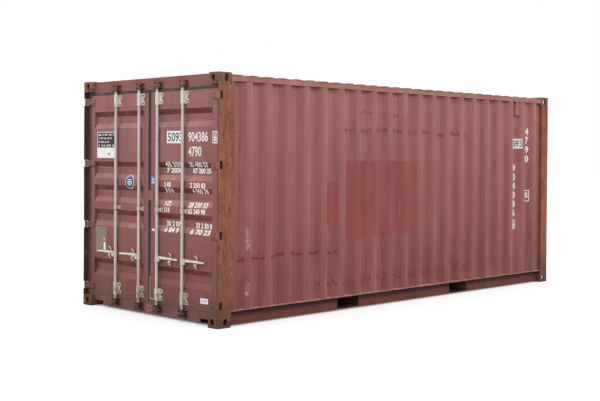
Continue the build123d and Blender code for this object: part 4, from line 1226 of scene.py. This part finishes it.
def sill_scribble(sheet):
    """A chalk scribble: one loose looping line, a little flatter towards its end."""
    points = []
    for k in range(SCRIBBLE_POINTS):
        part = k / (SCRIBBLE_POINTS - 1)
        turn = SCRIBBLE_LOOPS * math.tau * part
        x = SCRIBBLE_X + SCRIBBLE_LENGTH * part + SCRIBBLE_RADIUS * math.sin(turn)
        points.append((x, SCRIBBLE_Z + SCRIBBLE_RADIUS * math.cos(turn) * (1.0 - 0.2 * part)))
    sheet.lay("scribble", chalk_mark, stroke(points, 0.006))


def side_wall_marks(sheet):
    large = [
        *column("4790", 2.512, 2.591, 1.681, 2.157),
        *column("904386", 2.200, 2.277, 0.946, 1.650),
        *column("6", 2.216, 2.258, 0.793, 0.877),
        border(2.192, 2.279, 0.773, 0.897, 0.014),
    ]
    sheet.lay("figures", white_mark, *large)
    sheet.lay("block", white_mark, area(2.168, 2.398, 1.872, 2.002))
    sheet.lay("block_figures", dark_mark, figures("5093", 2.184, 2.382, 1.892, 1.984), lift=FILM)
    small = [border(2.500, 2.606, 1.140, 1.297, 0.011), figures("82", 2.520, 2.586, 1.190, 1.270, 0.05)]
    sheet.lay("small_box", white_mark, *small)


# Pieces of the body

POST_FACE = 1.216
CAST_LEVELS = (0.118, 2.473)
CAST_WELD_ENDS = [(-3.020, -2.856), (2.874, 3.020)]


def frame_welds():
    """Weld beads where the corner castings meet the posts."""
    shape = bmesh.new()
    for sign in HANDS.values():
        for level in CAST_LEVELS:
            for ends in CAST_WELD_ENDS:
                weld(shape, [Vector((sign * POST_FACE, y, level)) for y in ends], ACROSS * sign)
    add_piece("frame_welds", shape, post_brown, "container_body", smooth=60)


BOARD_JOINT = 0.003
BOARD_LENGTH = 2.4
BOARD_EDGE = 0.002
SCREW_PITCH = 0.305
SCREW_IN = 0.030
SCREW_FIRST = 0.08
SCREWS_IN_ROW = 5
SCREW_SUNK = 0.001
SCREW_HEAD = [(0.0075, 0), (0.0075, 0.0008), (0.005, 0.0014)]


def floor_boards():
    """Plywood boards two abreast, with bevelled edges, screwed down in rows."""
    low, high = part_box("floor")
    boards = bmesh.new()
    screws = bmesh.new()
    ends = [low.y]
    while ends[-1] < high.y - BOARD_EDGE:
        ends.append(min(ends[-1] + BOARD_LENGTH, high.y))
    for left, right in ((low.x, -BOARD_JOINT / 2), (BOARD_JOINT / 2, high.x)):
        for start, end in zip(ends, ends[1:]):
            stop = end if end == high.y else end - BOARD_JOINT
            rings = []
            for by, z in ((0, low.z), (0, high.z - BOARD_EDGE), (BOARD_EDGE, high.z)):
                board = inset((left, right, start, stop), by)
                rings.append([Vector((x, y, z)) for x, y in rectangle(*board)])
            bridge(boards, rings)
        for row in range(int((high.y - low.y) / SCREW_PITCH)):
            y = low.y + SCREW_FIRST + row * SCREW_PITCH
            for k in range(SCREWS_IN_ROW):
                x = left + SCREW_IN + (right - left - 2 * SCREW_IN) * k / (SCREWS_IN_ROW - 1)
                turned(screws, Vector((x, y, high.z - SCREW_SUNK)), UP, SCREW_HEAD, 10)
    piece = add_piece("floor_boards", boards, wood, "container_body")
    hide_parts("floor")
    add_piece("floor_screws", screws, bolt_iron, "container_body")


FORGED_ROUND = 0.0016
CAST_ROUND = 0.003


def soften_edges(names, width):
    """Round the sharp edges of forged and cast pieces a little."""
    for name in names:
        join = NODES[name].modifiers.new("join", "WELD")
        join.merge_threshold = 0.00005
        bevel = NODES[name].modifiers.new("edges", "BEVEL")
        bevel.width = width
        bevel.segments = 2
        bevel.limit_method = "ANGLE"
        bevel.angle_limit = math.radians(40)
        bevel.use_clamp_overlap = True


def dress(names, material):
    for name in names:
        mesh = NODES[name].data
        mesh.materials.clear()
        mesh.materials.append(material)


def starting(*starts):
    return [name for name in NODES if name.startswith(starts)]


def ending(*ends):
    return [name for name in NODES if name.endswith(ends)]


make_camera()
make_light()
make_floor()

doors_red = door_paint()
post_brown = post_rust()
zinc = zinc_coat("zinc", (218, 216, 206), 0.96)
bolt_iron = old_iron()
catch_pale = catch_zinc()
rubber = gasket_rubber()
wood = plywood()
white_mark = marking("white_mark", (240, 236, 232), 0.60)
cream_mark = marking("cream_mark", (216, 196, 188), 0.50)
dark_mark = marking("dark_mark", (48, 53, 68), 0.64)
blue_mark = marking("blue_mark", (46, 70, 120), 0.62)
chalk_mark = marking("chalk_mark", (172, 122, 94), 0.56)
sign_black = marking("sign_black", (36, 34, 36), 0.66)
plate_green = marking("plate_green", (130, 120, 107), 0.56)
sky_mark = marking("sky_mark", (80, 138, 170), 0.62)

dress(NODES, rail_paint())
dress(["side_walls", "wall_vents"], side_wall_paint())
dress([name for name in NODES if "_door_" in name], doors_red)
dress(["door_header", "door_sill"], frame_paint())
dress(["roof"], roof_paint())
dress(["bottom_side_rails"], low_rail_paint())
dress(["door_posts", "front_posts"], post_brown)
dress(["hinge_lugs"], lug_rust())
dress(starting("castings"), casting_rust())
dress(starting("lock_rod"), zinc_coat("rod_zinc", (204, 195, 194), 0.92))
dress(starting("lock_handle") + ending("_brackets"), zinc)
dress(ending("_catches"), catch_pale)
dress(["right_door_fittings"], stay_bar_paint())
dress(starting("rod_fittings"), forged_iron())
dress(["lock_keepers"], keeper_iron())
dress(ending("_gasket"), rubber)
dress(["floor"], wood)
dress(["cross_members", "fork_pockets"], bitumen())
soften_edges(starting("castings"), CAST_ROUND)
soften_edges(starting("lock_handle") + ending("_brackets"), FORGED_ROUND)

for hand in HANDS:
    gasket_lips(hand)
    seam_pad(hand)
    door_bolts(hand)
    hinge_bolts(hand)
    door_welds(hand)
    handle_catches(hand)
hinge_pin_heads()
frame_welds()
floor_boards()

right_door_marks(door_sheet("right"))
left_door = door_sheet("left")
left_door_sign(left_door)
left_door_oval(left_door)
left_door_plate(left_door)
sill_scribble(Sheet("sill", ["door_sill"], ACROSS, OUTWARD, "container_body", bend_axis=2))
side_wall_marks(Sheet("side_wall", ["side_walls"], ALONG, ACROSS, "container_body", bend_axis=1))

bpy.context.scene.view_settings.view_transform = "Standard"
